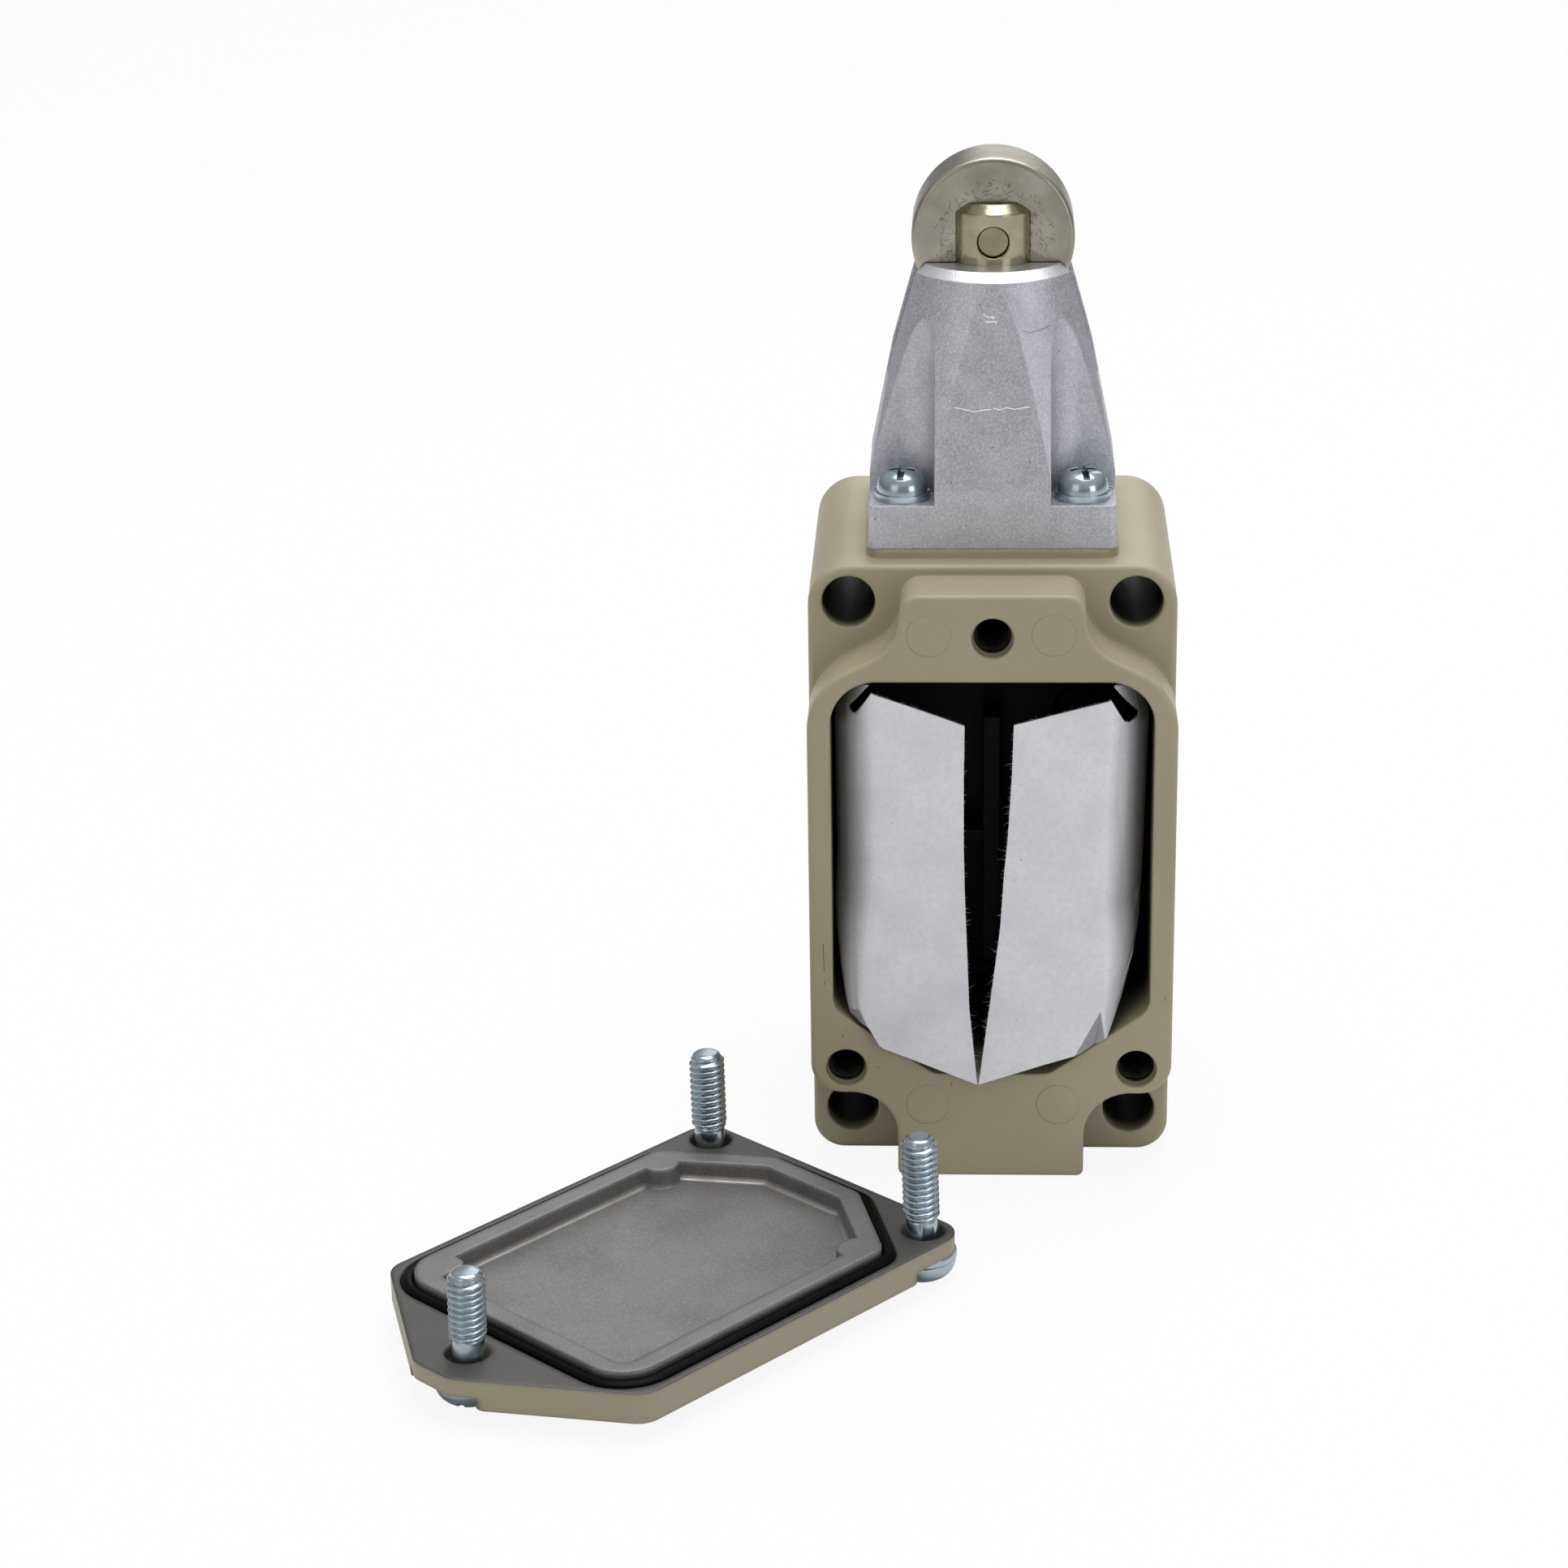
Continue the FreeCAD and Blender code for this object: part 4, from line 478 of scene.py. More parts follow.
def cut_out(mesh, holes, thickness=None):
    """Cut holes, each an outline of (x, z) and its two ends along Y; a sheet is thickened first."""
    blank = show("blank", mesh)
    if thickness:
        thick = blank.modifiers.new("thickness", "SOLIDIFY")
        thick.thickness = thickness * MM
        thick.offset = 0
    cutters = []
    for outline, near, far in holes:
        count = len(outline)
        prism = [(x, y, z) for y in (near, far) for x, z in outline]
        sides = [(i, (i + 1) % count, count + (i + 1) % count, count + i) for i in range(count)]
        sides += [tuple(range(count)), tuple(range(2 * count - 1, count - 1, -1))]
        cutters.append(show("cutter", make_mesh("cutter", prism, sides, mesh.materials[0])))
        cut = blank.modifiers.new("cut", "BOOLEAN")
        cut.operation = "DIFFERENCE"
        cut.solver = "EXACT"
        cut.object = cutters[-1]
    bpy.context.view_layer.update()
    result = bpy.data.meshes.new_from_object(blank.evaluated_get(bpy.context.evaluated_depsgraph_get()))
    for used in cutters + [blank]:
        bpy.data.objects.remove(used)
    smooth(result)
    return result


def add_joined(name, meshes, places, replaced=()):
    """Show one piece that holds each of the meshes, moved to its place."""
    whole = bmesh.new()
    for mesh, place in zip(meshes, places):
        part = mesh.copy()
        part.transform(place)
        whole.from_mesh(part)
        bpy.data.meshes.remove(part)
    joined = bpy.data.meshes.new(name)
    whole.to_mesh(joined)
    whole.free()
    joined.materials.append(meshes[0].materials[0])
    add_piece(name, joined, replaced)


def moved(x, y, z):
    """A move by x, y and z millimetres."""
    return Matrix.Translation(Vector((x, y, z)) * MM)


# %% [markdown]
# ## Screws with real threads
#
# A thread is a ramp wound round a cylinder. Here each ring of the shank asks, for every angle,
# how far along the ramp it is, and a triangle wave turns that into a radius between crest and
# root. The two kinds of screw differ only in size and in their drive: a pan head with a single
# slot holds the cover, and one with a slot and a cross holds the head. The drives are cut with
# a boolean before the screws are put in their places.

# %% One screw, standing on its head
# Its depth is in pitches, and a crest cut flat comes from a wave that rises above 1.
THREAD_DEPTH, CREST_RISE = 0.61, 1.25
NECK_SHARE, RIM = 0.86, 0.12
TIP = ((0.93, 0.1), (0.8, 0.2), (0.6, 0.26))
TIP_END = 0.28


def triangle(turns):
    """A wave that rises from 0 to 1 and falls back over each whole turn."""
    return 1 - abs(2 * (turns % 1) - 1)


def screw_mesh(head, head_height, thread, length, neck, pitch, count, steps, crossed=False):
    """Along +Z: a pan head that starts at 0, a plain neck, then the thread and its tip."""
    rings = [[(0, 0, 0)]]
    for step in range(1, 11):
        turn = radians(9 * step)
        level = head_height * (1 - cos(turn) ** 0.9)
        rings.append(circle(head / 2 * sin(turn) ** 0.72, level, count))
    rings.append(circle(head / 2 - RIM, head_height, count))
    crest, core = thread / 2, thread / 2 - THREAD_DEPTH * pitch
    start, end = head_height + neck, head_height + length
    rings += [circle(NECK_SHARE * crest, level, count) for level in (head_height, start - 0.2)]
    rows = round((end - start) / pitch * steps)
    for row in range(rows + 1):
        height = start + (end - start) * row / rows

        def flank(angle, height=height):
            rise = min(1, CREST_RISE * triangle(height / pitch - angle / (2 * pi)))
            fade = min(1, (height - start) / (0.8 * pitch) + 0.25, (end - height) / (0.9 * pitch))
            return core + (crest - core) * rise * fade

        rings.append(circle(flank, height, count))
    rings += [circle(core * share, end + beyond, count) for share, beyond in TIP]
    rings.append([(0, 0, end + TIP_END)])
    # Each part of the drive is a box, given by its length, its width and its depth in the head.
    cuts = [(head * 1.2, 0.8, 0.42 * head_height)]
    if crossed:
        cuts = [(head * 1.2, 0.7, 0.3 * head_height), (0.5 * head, 0.75, 0.62 * head_height),
                (0.75, 0.5 * head, 0.62 * head_height)]
    boxes = [([(-x / 2, -1), (x / 2, -1), (x / 2, depth), (-x / 2, depth)], -y / 2, y / 2)
             for x, y, depth in cuts]
    return cut_out(make_mesh("screw", *skin(rings), zinc), boxes)


# %% The cover's three screws and washers
COVER_TURN = radians(138.28)
COVER_ORIGIN = Vector((-18.66, -34.83, COVER_FACE))


def on_cover(x, y, z=0.0):
    """A point of the cover's own frame, in millimetres, in the object's frame."""
    turned_x = x * cos(COVER_TURN) - y * sin(COVER_TURN)
    turned_y = x * sin(COVER_TURN) + y * cos(COVER_TURN)
    return Vector((turned_x, turned_y, z)) + COVER_ORIGIN


standing = [moved(*on_cover(x, y).xy, 0) for x, y in ((-15.6, 0), (15.6, 0), (0, 49.05))]
LENGTHS = (13.4, 13.0, 11.6)
LEANS = (-1.6, -1.0, 0.9)
TURNS = (0.7, 2.6, 4.5)
screws = [screw_mesh(head=6.9, head_height=2.4, thread=3.8, length=length, neck=4.4, pitch=0.7,
                     count=72, steps=10) for length in LENGTHS]
places = [spot @ Matrix.Rotation(radians(lean), 4, "Y") @ Matrix.Rotation(turn, 4, "Z")
          for spot, lean, turn in zip(standing, LEANS, TURNS)]
add_joined("threaded_cover_screws", screws, places, ["cover_screws"])

profile = [(2.1, 2.45), (3.35, 2.45), (3.45, 2.55), (3.45, 3.1), (3.35, 3.25), (2.1, 3.25)]
washer = make_mesh("washer", *skin([circle(r, z, 48) for r, z in profile + profile[:1]]), zinc)
add_joined("rounded_cover_washers", [washer] * 3, standing, ["cover_screw_washers"])

# %% The head's four screws
HEAD_HALF = 9.5
HEAD_TOP = 76.45
head_screw = screw_mesh(head=5.4, head_height=2.35, thread=3.0, length=12.0, neck=0.6, pitch=0.5,
                        count=48, steps=6, crossed=True)
upside_down = Matrix.Rotation(pi, 4, "X")
corners = [(a * HEAD_HALF, b * HEAD_HALF) for a in (-1, 1) for b in (-1, 1)]
places = [moved(x, y, HEAD_TOP) @ Matrix.Rotation(turn, 4, "Z") @ upside_down
          for (x, y), turn in zip(corners, (1.47, 0.6, 1.75, 2.3))]
add_joined("crossed_head_screws", [head_screw] * 4, places, ["head_screws"])

# %% [markdown]
# ## Tapped holes
#
# The model's threaded holes are plain bores. A sleeve with an inside thread sits in each,
# a hundredth of a millimetre clear of the bore, so that the ridges show in the mouth. Their
# dark grey is bare metal darkened with painted shade, for the shade deep in the holes.

# %% Threads in the cover's holes and in the conduit entry
def sleeve_mesh(radius, depth, ridge, pitch, count, steps):
    """A threaded sleeve along +Z from height 0 to its depth."""
    rows = round(depth / pitch * steps)
    rings = []
    for row in range(rows + 1):
        height = depth * row / rows

        def crest(angle, height=height):
            edge = min(1, height / pitch + 0.15, (depth - height) / pitch + 0.15)
            return radius - 0.05 - ridge * edge * triangle(height / pitch + angle / (2 * pi))

        rings.append(circle(crest, height, count))
    rings += [circle(radius - 0.01, height, count) for height in (depth, depth / 2, 0)]
    return make_mesh("sleeve", *skin(rings + rings[:1]), shaded_tapped_metal)


inward = Matrix.Rotation(radians(-90), 4, "X")
tapped = sleeve_mesh(radius=1.98, depth=9.6, ridge=0.3, pitch=0.7, count=40, steps=6)
places = [moved(x, -21.38, z) @ inward for x, z in ((-15.6, 12.95), (15.6, 12.95), (0, 62.0))]
add_joined("cover_hole_threads", [tapped] * 3, places)
conduit = sleeve_mesh(radius=9.315, depth=10.8, ridge=0.45, pitch=1.814, count=96, steps=8)
add_joined("conduit_thread", [conduit], [moved(0, 0, 0.8)])

# %% [markdown]
# ## The gasket and the tray's fillet
#
# The gasket is a rubber cord pressed into the cover's groove. Its section is a rounded bead
# that stands a little proud, swept round the same rounded outline as the window. The foot of
# the cover's tray is a soft fillet, coloured a lighter grey than the tray as a painted highlight
# for the pale line it shows. The same sweep makes it, with a hollow quarter circle as its section.

# %% Sweep a section round an outline on the cover
def rounded_path(corners, per_arc=9):
    """Points round a closed outline whose corners (x, y, radius) are rounded."""
    path = []
    for i, (x, y, radius) in enumerate(corners):
        here = Vector((x, y))
        before = (Vector(corners[i - 1][:2]) - here).normalized()
        after = (Vector(corners[(i + 1) % len(corners)][:2]) - here).normalized()
        half = before.angle(after) / 2
        centre = here + (before + after).normalized() * (radius / sin(half))
        first = here + before * (radius / tan(half)) - centre
        arc = first.angle_signed(here + after * (radius / tan(half)) - centre)
        for step in range(per_arc + 1):
            turn = -arc * step / per_arc
            path.append(centre + Vector((first.x * cos(turn) - first.y * sin(turn),
                                         first.x * sin(turn) + first.y * cos(turn))))
    return path


def sweep(name, corners, section, material):
    """A mesh whose section (outward, height) follows an outline on the cover."""
    path = rounded_path(corners)
    rings = []
    for i, point in enumerate(path):
        along = (path[(i + 1) % len(path)] - path[i - 1]).normalized()
        out = Vector((along.y, -along.x))
        rings.append([on_cover(*(point + out * across), height) for across, height in section])
    return make_mesh(name, *skin(rings + rings[:1]), material)


def mirrored(half):
    """An outline from its right half, closed by the same corners on the left."""
    return half + [(-x, y, radius) for x, y, radius in reversed(half)]


# %% The gasket's bead
BEAD = [(-0.7, -0.95), (0.7, -0.95), (0.72, -0.1), (0.64, 0.2), (0.4, 0.4), (0.08, 0.48), (-0.24, 0.46),
        (-0.54, 0.32), (-0.7, 0.05)]
GROOVE = mirrored([(6.45, -1.05, 2.9), (17.35, 6.7, 2.9), (17.35, 44.65, 5.2)])
add_piece("gasket_bead", sweep("gasket", GROOVE, BEAD, rubber), ["cover_gasket"])

# %% The tray's fillet
TRAY = mirrored([(5.39, 1.9, 1.5), (14.4, 8.27, 1.5), (14.4, 41.7, 1.5)])
TRAY_FLOOR, FILLET, SUNK = -1.1, 0.55, 0.03
section = [(0.04, TRAY_FLOOR - SUNK), (0.04, TRAY_FLOOR + FILLET)]
for step in range(8):
    turn = radians(90 * step / 7)
    section.append((-FILLET * (1 - cos(turn)), TRAY_FLOOR + FILLET * (1 - sin(turn)) + 0.01))
section.append((-FILLET, TRAY_FLOOR - SUNK))
# The fillet's lighter grey is a painted highlight, for the pale line along the tray's foot.
fillet_painted_highlight = plated("casting_with_painted_highlight", "#a29e9a", "#928e8a", 0.42, edge_mm=0.02)
add_piece("tray_fillet", sweep("tray_fillet", TRAY, section, fillet_painted_highlight))

# %% [markdown]
# ## The insulating sheet
#
# One sheet of white fibre board is folded into a box that is open at the front, and its two
# flaps almost close it again. It is thin and springy, so it isn't quite flat anywhere: the
# folds are soft bends, the flaps lean in towards their tips, and each lower corner is creased.
# Here the sheet is a grid. Its columns run along the fold, from one flap's free edge round the
# back to the other's, and its rows go up. Small tables give the outline of each flap. The board
# then gets its thickness, and two slanted slots are cut out of its upper corners.

# %% The outlines of the two flaps
# "edge", "side", BEND and BEND_SHAPE go by height: the flap's free edge, its fold, how far the
# bend reaches and how deep it is against that. "foot" and "top" give a height for each distance
# from the middle. A dented or slotted corner lies to the right of both of its lines.
FLAP_FACE = -23.1
BEND = [(17.5, 1.3), (32.0, 4.7)]
BEND_SHAPE = [(17.5, 0.6), (32.0, 1.1)]
WALL, BACK, WALL_FOOT, WALL_TOP = 16.6, 13.9, 20.9, 57.0
LEFT = {
    "edge": [(11.4, 1.45), (20.5, 2.35), (33.7, 2.83), (38.9, 2.95), (46.6, 2.96), (52.6, 2.87)],
    "side": [(11.0, 13.7), (19.3, 15.21), (22.2, 15.64), (24.1, 15.97), (26.6, 16.22), (28.3, 16.41),
             (31.3, 16.6), (36.8, 16.3), (57.0, 16.5)],
    "foot": [(1.4, 11.5), (11.88, 15.76), (13.14, 18.14), (15.21, 19.3), (17.0, 20.9)],
    "top": [(2.87, 52.6), (12.6, 56.2), (12.9, 57.0), (17.0, 57.0)],
    "dent": [((13.14, 18.14), (14.02, 20.1)), ((14.02, 20.25), (15.3, 19.9))],
    "corner": [((14.3, 52.9), (12.6, 56.6)), ((17.0, 53.3), (12.0, 53.3))],
}
RIGHT = {
    "edge": [(11.4, -1.35), (20.5, -0.21), (29.7, 0.92), (35.8, 1.3), (40.2, 1.69), (47.1, 2.08),
             (52.7, 2.24)],
    "side": [(11.0, 10.9), (17.0, 12.54), (18.85, 13.08), (20.25, 13.52), (21.8, 13.95), (23.8, 14.45),
             (25.5, 14.95), (27.65, 15.32), (29.75, 15.64), (34.3, 15.9), (49.7, 16.3), (57.0, 16.5)],
    "foot": [(-1.4, 11.5), (6.15, 14.0), (9.48, 15.03), (11.8, 16.3), (12.54, 16.96), (17.0, 20.9)],
    "top": [(2.24, 52.7), (12.3, 55.4), (12.6, 57.0), (17.0, 57.0)],
    "dent": [((9.47, 15.87), (11.21, 19.25)), ((11.84, 19.39), (12.12, 17.57))],
    "corner": [((14.3, 52.3), (12.5, 55.6)), ((17.0, 52.9), (12.0, 52.9))],
}
FLAPS = ((-1, LEFT), (1, RIGHT))


# %% From the tables to points of the sheet
BACK_ROUND, BACK_SHARE = 1.2, 0.93
DENT_DEPTH = 0.7
TURNED_ABOVE, TURNED_CORNER, TURNED_WAY, TURNED_PUSH = 52, (12.2, 57.4), (0.844, 0.537), 0.9
SOFT_UNTIL, SWELL = 1.5, 0.3
TIP_LEAN, LEAN_BELOW, LEAN_SPAN = 0.35, 30, 19
WALL_TABLE_END = 17.0
ROWS = 64


def read_table(table, value):
    """A straight line between neighbouring rows of a table, level beyond its ends."""
    if value <= table[0][0]:
        return table[0][1]
    for (a, first), (b, second) in zip(table, table[1:]):
        if value <= b:
            return first + (second - first) * (value - a) / (b - a)
    return table[-1][1]


def fold_point(hand, flap, share, height):
    """A point of the sheet: share 0 is the free edge, 1 to 3 flap, bend and side, 4 mid-back."""
    side = read_table(flap["side"], height)
    bend = read_table(BEND, height)
    start, deep = side - bend, FLAP_FACE + bend * read_table(BEND_SHAPE, height)
    if share <= 1:
        edge = read_table(flap["edge"], height)
        x, y = edge + (start - edge) * share, FLAP_FACE
    elif share <= 2:
        x, y = start + bend * (share - 1), FLAP_FACE + (deep - FLAP_FACE) * (share - 1) ** 2
    elif share <= 3:
        along = share - 2
        x, y = side + (WALL - side) * min(1, 2 * along), deep + (BACK - deep) * along
        if along > BACK_SHARE:
            x -= BACK_ROUND * ((along - BACK_SHARE) / (1 - BACK_SHARE)) ** 2
    else:
        x, y = (WALL - BACK_ROUND) * (4 - share), BACK
    if share <= 2:
        inside = [((x - ax) * (bz - az) - (height - az) * (bx - ax)) / hypot(bx - ax, bz - az)
                  for (ax, az), (bx, bz) in flap["dent"]]
        y += DENT_DEPTH * max(0, min(inside))
    if 1 < share < 2.2 and height > TURNED_ABOVE:
        past = (abs(x) - TURNED_CORNER[0]) * TURNED_WAY[0] + (height - TURNED_CORNER[1]) * TURNED_WAY[1]
        y += TURNED_PUSH * max(0, past)
    if share < SOFT_UNTIL:
        y += SWELL * noise.noise(Vector((hand * x * 0.09, 3.0 * hand, height * 0.07)))
        y -= TIP_LEAN * (1 - share / SOFT_UNTIL) * max(0, (LEAN_BELOW - height) / LEAN_SPAN)
    return (hand * x, y, height)


def column(hand, flap, share):
    """One column of the sheet; its ends are found by walking along the outline's tables."""
    ends = []
    for table, height in ((flap["foot"], 15.0), (flap["top"], 55.0)):
        for _ in range(40):
            x = fold_point(1, flap, share, height)[0] if share < 2 else WALL_TABLE_END
            height += 0.5 * (read_table(table, x) - height)
        ends.append(height)
    low, high = ends
    return [fold_point(hand, flap, share, low + (high - low) * row / ROWS) for row in range(ROWS + 1)]


# %% Painted shade on the dented corners and on the corners beyond the slots
board_place = axes_of(fibre)
in_front = calculate(fibre, "LESS_THAN", board_place["Y"], -20.0 * MM)


def beside(hand, lines):
    """A shader value that is 1 to the right of every line, each seen from its first point."""
    x, inside = product(fibre, board_place["X"], float(hand)), in_front
    for (ax, az), (bx, bz) in lines:
        run = product(fibre, calculate(fibre, "SUBTRACT", x, ax * MM), bz - az)
        rise = product(fibre, calculate(fibre, "SUBTRACT", board_place["Z"], az * MM), bx - ax)
        reach = spread(fibre, calculate(fibre, "SUBTRACT", run, rise), 0.0, 0.25 * MM)
        inside = product(fibre, reach, inside)
    return inside


# The grey on the dented corners and on the corners beyond the slots is painted shade.
for hand, flap in FLAPS:
    for part, amount in (("dent", 0.9), ("corner", 0.6)):
        grey = product(fibre, beside(hand, flap[part]), amount)
        board_colour = blend_colours(fibre, grey, board_colour, "#8b8b8e")
use(fibre, "Base Color", board_colour)

# %% Fold the sheet
SHARES = [part + i / count for part, count in enumerate((26, 12, 14, 8)) for i in range(count)]
left, right = [[column(hand, flap, share) for share in SHARES] for hand, flap in FLAPS]
middle = [(0, BACK, WALL_FOOT + (WALL_TOP - WALL_FOOT) * row / ROWS) for row in range(ROWS + 1)]
columns = left + [middle] + right[::-1]
points = [point for line in columns for point in line]
tall = ROWS + 1
faces = [(i * tall + j, (i + 1) * tall + j, (i + 1) * tall + j + 1, i * tall + j + 1)
         for i in range(len(columns) - 1) for j in range(ROWS)]
sheet = make_mesh("sheet", points, faces, fibre)
print("a grid of", len(columns), "columns with", tall, "points each")

# %% Cut the slots, the rounded upper corners and the holes for the posts
SLOTS = [[(-12.6, 56.2), (-14.25, 53.55), (-14.6, 53.4), (-14.95, 53.75), (-14.95, 54.0), (-13.1, 56.7),
          (-11.7, 57.6), (-11.0, 57.6), (-11.0, 56.8)],
         [(12.35, 55.4), (13.75, 52.8), (14.3, 52.5), (15.15, 52.75), (15.3, 53.2), (12.6, 56.9),
          (10.1, 57.6), (9.5, 57.6), (9.5, 56.6)]]
THROUGH_FLAP, THROUGH_BACK = (-25.0, -19.0), (12.0, 15.0)
WINDOW_HALF, WINDOW_TOP, WINDOW_ROUND, WINDOW_GAP = 16.95, 57.2, 4.8, 0.2
POST_HOLE = 3.9
BOARD = 0.28


def arc(x, z, radius, degrees):
    """Points round a centre, one for each angle."""
    return [(x + radius * cos(radians(angle)), z + radius * sin(radians(angle))) for angle in degrees]


corner = arc(WINDOW_HALF - WINDOW_ROUND, WINDOW_TOP - WINDOW_ROUND, WINDOW_ROUND - WINDOW_GAP,
             range(0, 96, 6))
upper = [[(hand * x, z) for x, z in [(18, 59)] + corner + [(11, 59)]] for hand in (-1, 1)]
posts = [arc(x, z, POST_HOLE, range(0, 360, 15)) for x, z in ((-9.35, 22.85), (9.35, 48.55))]
holes = [(outline, *THROUGH_FLAP) for outline in SLOTS + upper]
holes += [(outline, *THROUGH_BACK) for outline in posts]
add_piece("folded_fibre_board", cut_out(sheet, holes, thickness=BOARD), ["insulating_sheet"])

# %% [markdown]
# Cut board frays. Short loose fibres stand out of its cut edges, each one a thin curved spike
# with three sides.

# %% Loose fibres along the cut edges
def rod_faces(base, rings):
    """Faces of a three-sided rod whose points start at a base, with both ends closed."""
    faces = []
    for i in range(rings - 1):
        for k in range(3):
            a, b = base + 3 * i + k, base + 3 * i + (k + 1) % 3
            faces.append((a, b, b + 3, a + 3))
    last = base + 3 * (rings - 1)
    return faces + [(base, base + 2, base + 1), (last, last + 1, last + 2)]


FIBRE_RINGS, FIBRE_WIDTH = 4, 0.022
dice = random.Random(7)
points, faces = [], []
edges = [(-1, LEFT, "edge", 150), (1, RIGHT, "edge", 230), (-1, LEFT, "top", 90), (1, RIGHT, "top", 80)]
for hand, flap, side_name, count in edges:
    for _ in range(count):
        if side_name == "edge":
            height = dice.uniform(12.5, 52.0)
            root_at = Vector(fold_point(hand, flap, 0, height))
            away = Vector((-hand, -0.3, dice.uniform(-0.9, 0.9))).normalized()
        else:
            x = dice.uniform(flap["top"][0][0], flap["top"][1][0])
            root_at = Vector((hand * x, FLAP_FACE, read_table(flap["top"], x)))
            away = Vector((dice.uniform(-0.8, 0.8), -0.2, 1)).normalized()
        length = dice.uniform(0.1, 0.28) if dice.random() < 0.85 else dice.uniform(0.35, 0.7)
        droop = Vector((dice.uniform(-1, 1), dice.uniform(-0.4, 0.4), dice.uniform(-1, 1))) * 0.7 * length
        faces += rod_faces(len(points), FIBRE_RINGS)
        for step in range(FIBRE_RINGS):
            t = step / (FIBRE_RINGS - 1)
            centre = root_at + away * length * (t - 0.1) + droop * t * t
            for k in range(3):
                turn = 2 * pi * k / 3
                width = FIBRE_WIDTH * (1 - 0.75 * t)
                points.append(centre + Vector((0, cos(turn), sin(turn))) * width)
add_piece("loose_fibres", make_mesh("loose_fibres", points, faces, fibre))

# %% [markdown]
# ## The springs
#
# Four coil springs shorten when the plunger is pressed. One end of each moves with the plunger
# or the button, and the other stays or moves less, so the share of the travel that a coil takes
# grows along the spring: from nothing at the first height in the table to the whole at the
# second. Where a spring's lower end travels too, the first height lies below it. Here each
# spring is only copied, where the model has it, into a piece of its own, and the model's spring
# is hidden; the table's body and heights are not used.

# %% Copy each spring into a piece of its own
SPRINGS = [("return_spring", "plunger", 60.05, 76.2),
           ("overtravel_spring", "plunger", 73.07, 88.45),
           ("button_spring", "switch_button", 26.85, 31.85),
           ("bridge_spring", "switch_button", 31.58, 39.85)]
for name, body, still, moving in SPRINGS:
    coil = show(f"elastic_{name}", NODES[name].data.copy())
    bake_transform(coil)
    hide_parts(name)
    print(coil.name, len(coil.data.polygons), "faces")

# %% [markdown]
# ## Marks of the ejector pins
#
# Four pins pushed the casting out of its die, and each left a round mark about 4.7 mm across
# on the front. The mark stands a few hundredths of a millimetre proud, with a soft rim.

# %% Four faint discs
FRONT = -22.5
profile = [(0.001, -0.5), (2.37, -0.5), (2.37, 0.0), (2.3, 0.035), (2.2, 0.02), (2.1, 0.03), (0.001, 0.03)]
mark = make_mesh("mark", *skin([circle(r, z, 56) for r, z in profile]), enamel)
to_front = Matrix.Rotation(radians(90), 4, "X")
places = [moved(x, FRONT, z) @ to_front
          for x, z in ((-6.62, 62.29), (6.37, 62.38), (-6.83, 8.61), (7.2, 8.69))]
add_joined("ejector_marks", [mark] * 4, places)

# %% [markdown]
# ## Scratches, nicks and dirt
#
# Years of use leave thin lines. Each one here is a flat ridge a few hundredths of a millimetre
# wide. A ray from the front finds the surface under every point of the line, so the ridge lies
# on whatever shape is there.

# %% Lay thin lines on a surface
RAY_START = -0.06
STEP = 0.25
SUNK_IN, STANDING_OUT = 0.01, 0.012
bpy.context.view_layer.update()


def surface_lines(name, target, lines, width, material, body="housing_body"):
    """Ridges along lines of (x, z) points in millimetres, seen from the front of a rigid piece."""
    points, faces = [], []
    for line in lines:
        track = []
        for (ax, az), (bx, bz) in zip(line, line[1:]):
            steps = max(1, round(hypot(bx - ax, bz - az) / STEP))
            track += [(ax + (bx - ax) * i / steps, az + (bz - az) * i / steps) for i in range(steps)]
        track.append(line[-1])
        rays = [NODES[target].ray_cast((x * MM, RAY_START, z * MM), (0, 1, 0)) for x, z in track]
        found = [(place / MM, normal) for hit, place, normal, _ in rays if hit]
        if len(found) < 2:
            continue
        faces += rod_faces(len(points), len(found))
        last = len(found) - 1
        for i, (place, normal) in enumerate(found):
            along = (found[min(i + 1, last)][0] - found[max(i - 1, 0)][0]).normalized()
            side = along.cross(normal).normalized()
            half = width / 2 * (0.25 if i in (0, last) else 1)
            points += [place - side * half - normal * SUNK_IN, place + side * half - normal * SUNK_IN,
                       place + normal * (STANDING_OUT + 0.25 * half)]
    piece = add_piece(name, make_mesh(name, points, faces, material))
    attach(piece, body)


def short_lines(count, middle, low, high, length):
    """Short straight scratches at random angles, between two distances from a point."""
    lines = []
    for _ in range(count):
        turn, reach = dice.uniform(0, 2 * pi), dice.uniform(low, high)
        slant, half = dice.uniform(0, pi), dice.uniform(0.4, 1.0) * length / 2
        x, z = middle[0] + reach * cos(turn), middle[1] + reach * sin(turn)
        across, up = half * cos(slant), half * sin(slant)
        lines.append([(x - across, z - up), (x + across, z + up)])
    return lines


# %% Colours of the lines
def plain(name, colour, **settings):
    """A material of one colour."""
    material = new_material(name, **settings)
    use(material, "Base Color", linear(colour))
    return material


burr = plain("bright_burr", "#eceef2", metallic=0.4, roughness=0.4)
grime = plain("dark_grime", "#3a3630", roughness=0.7)
faint = plain("worn_scratch", "#474136", metallic=0.6, roughness=0.5)

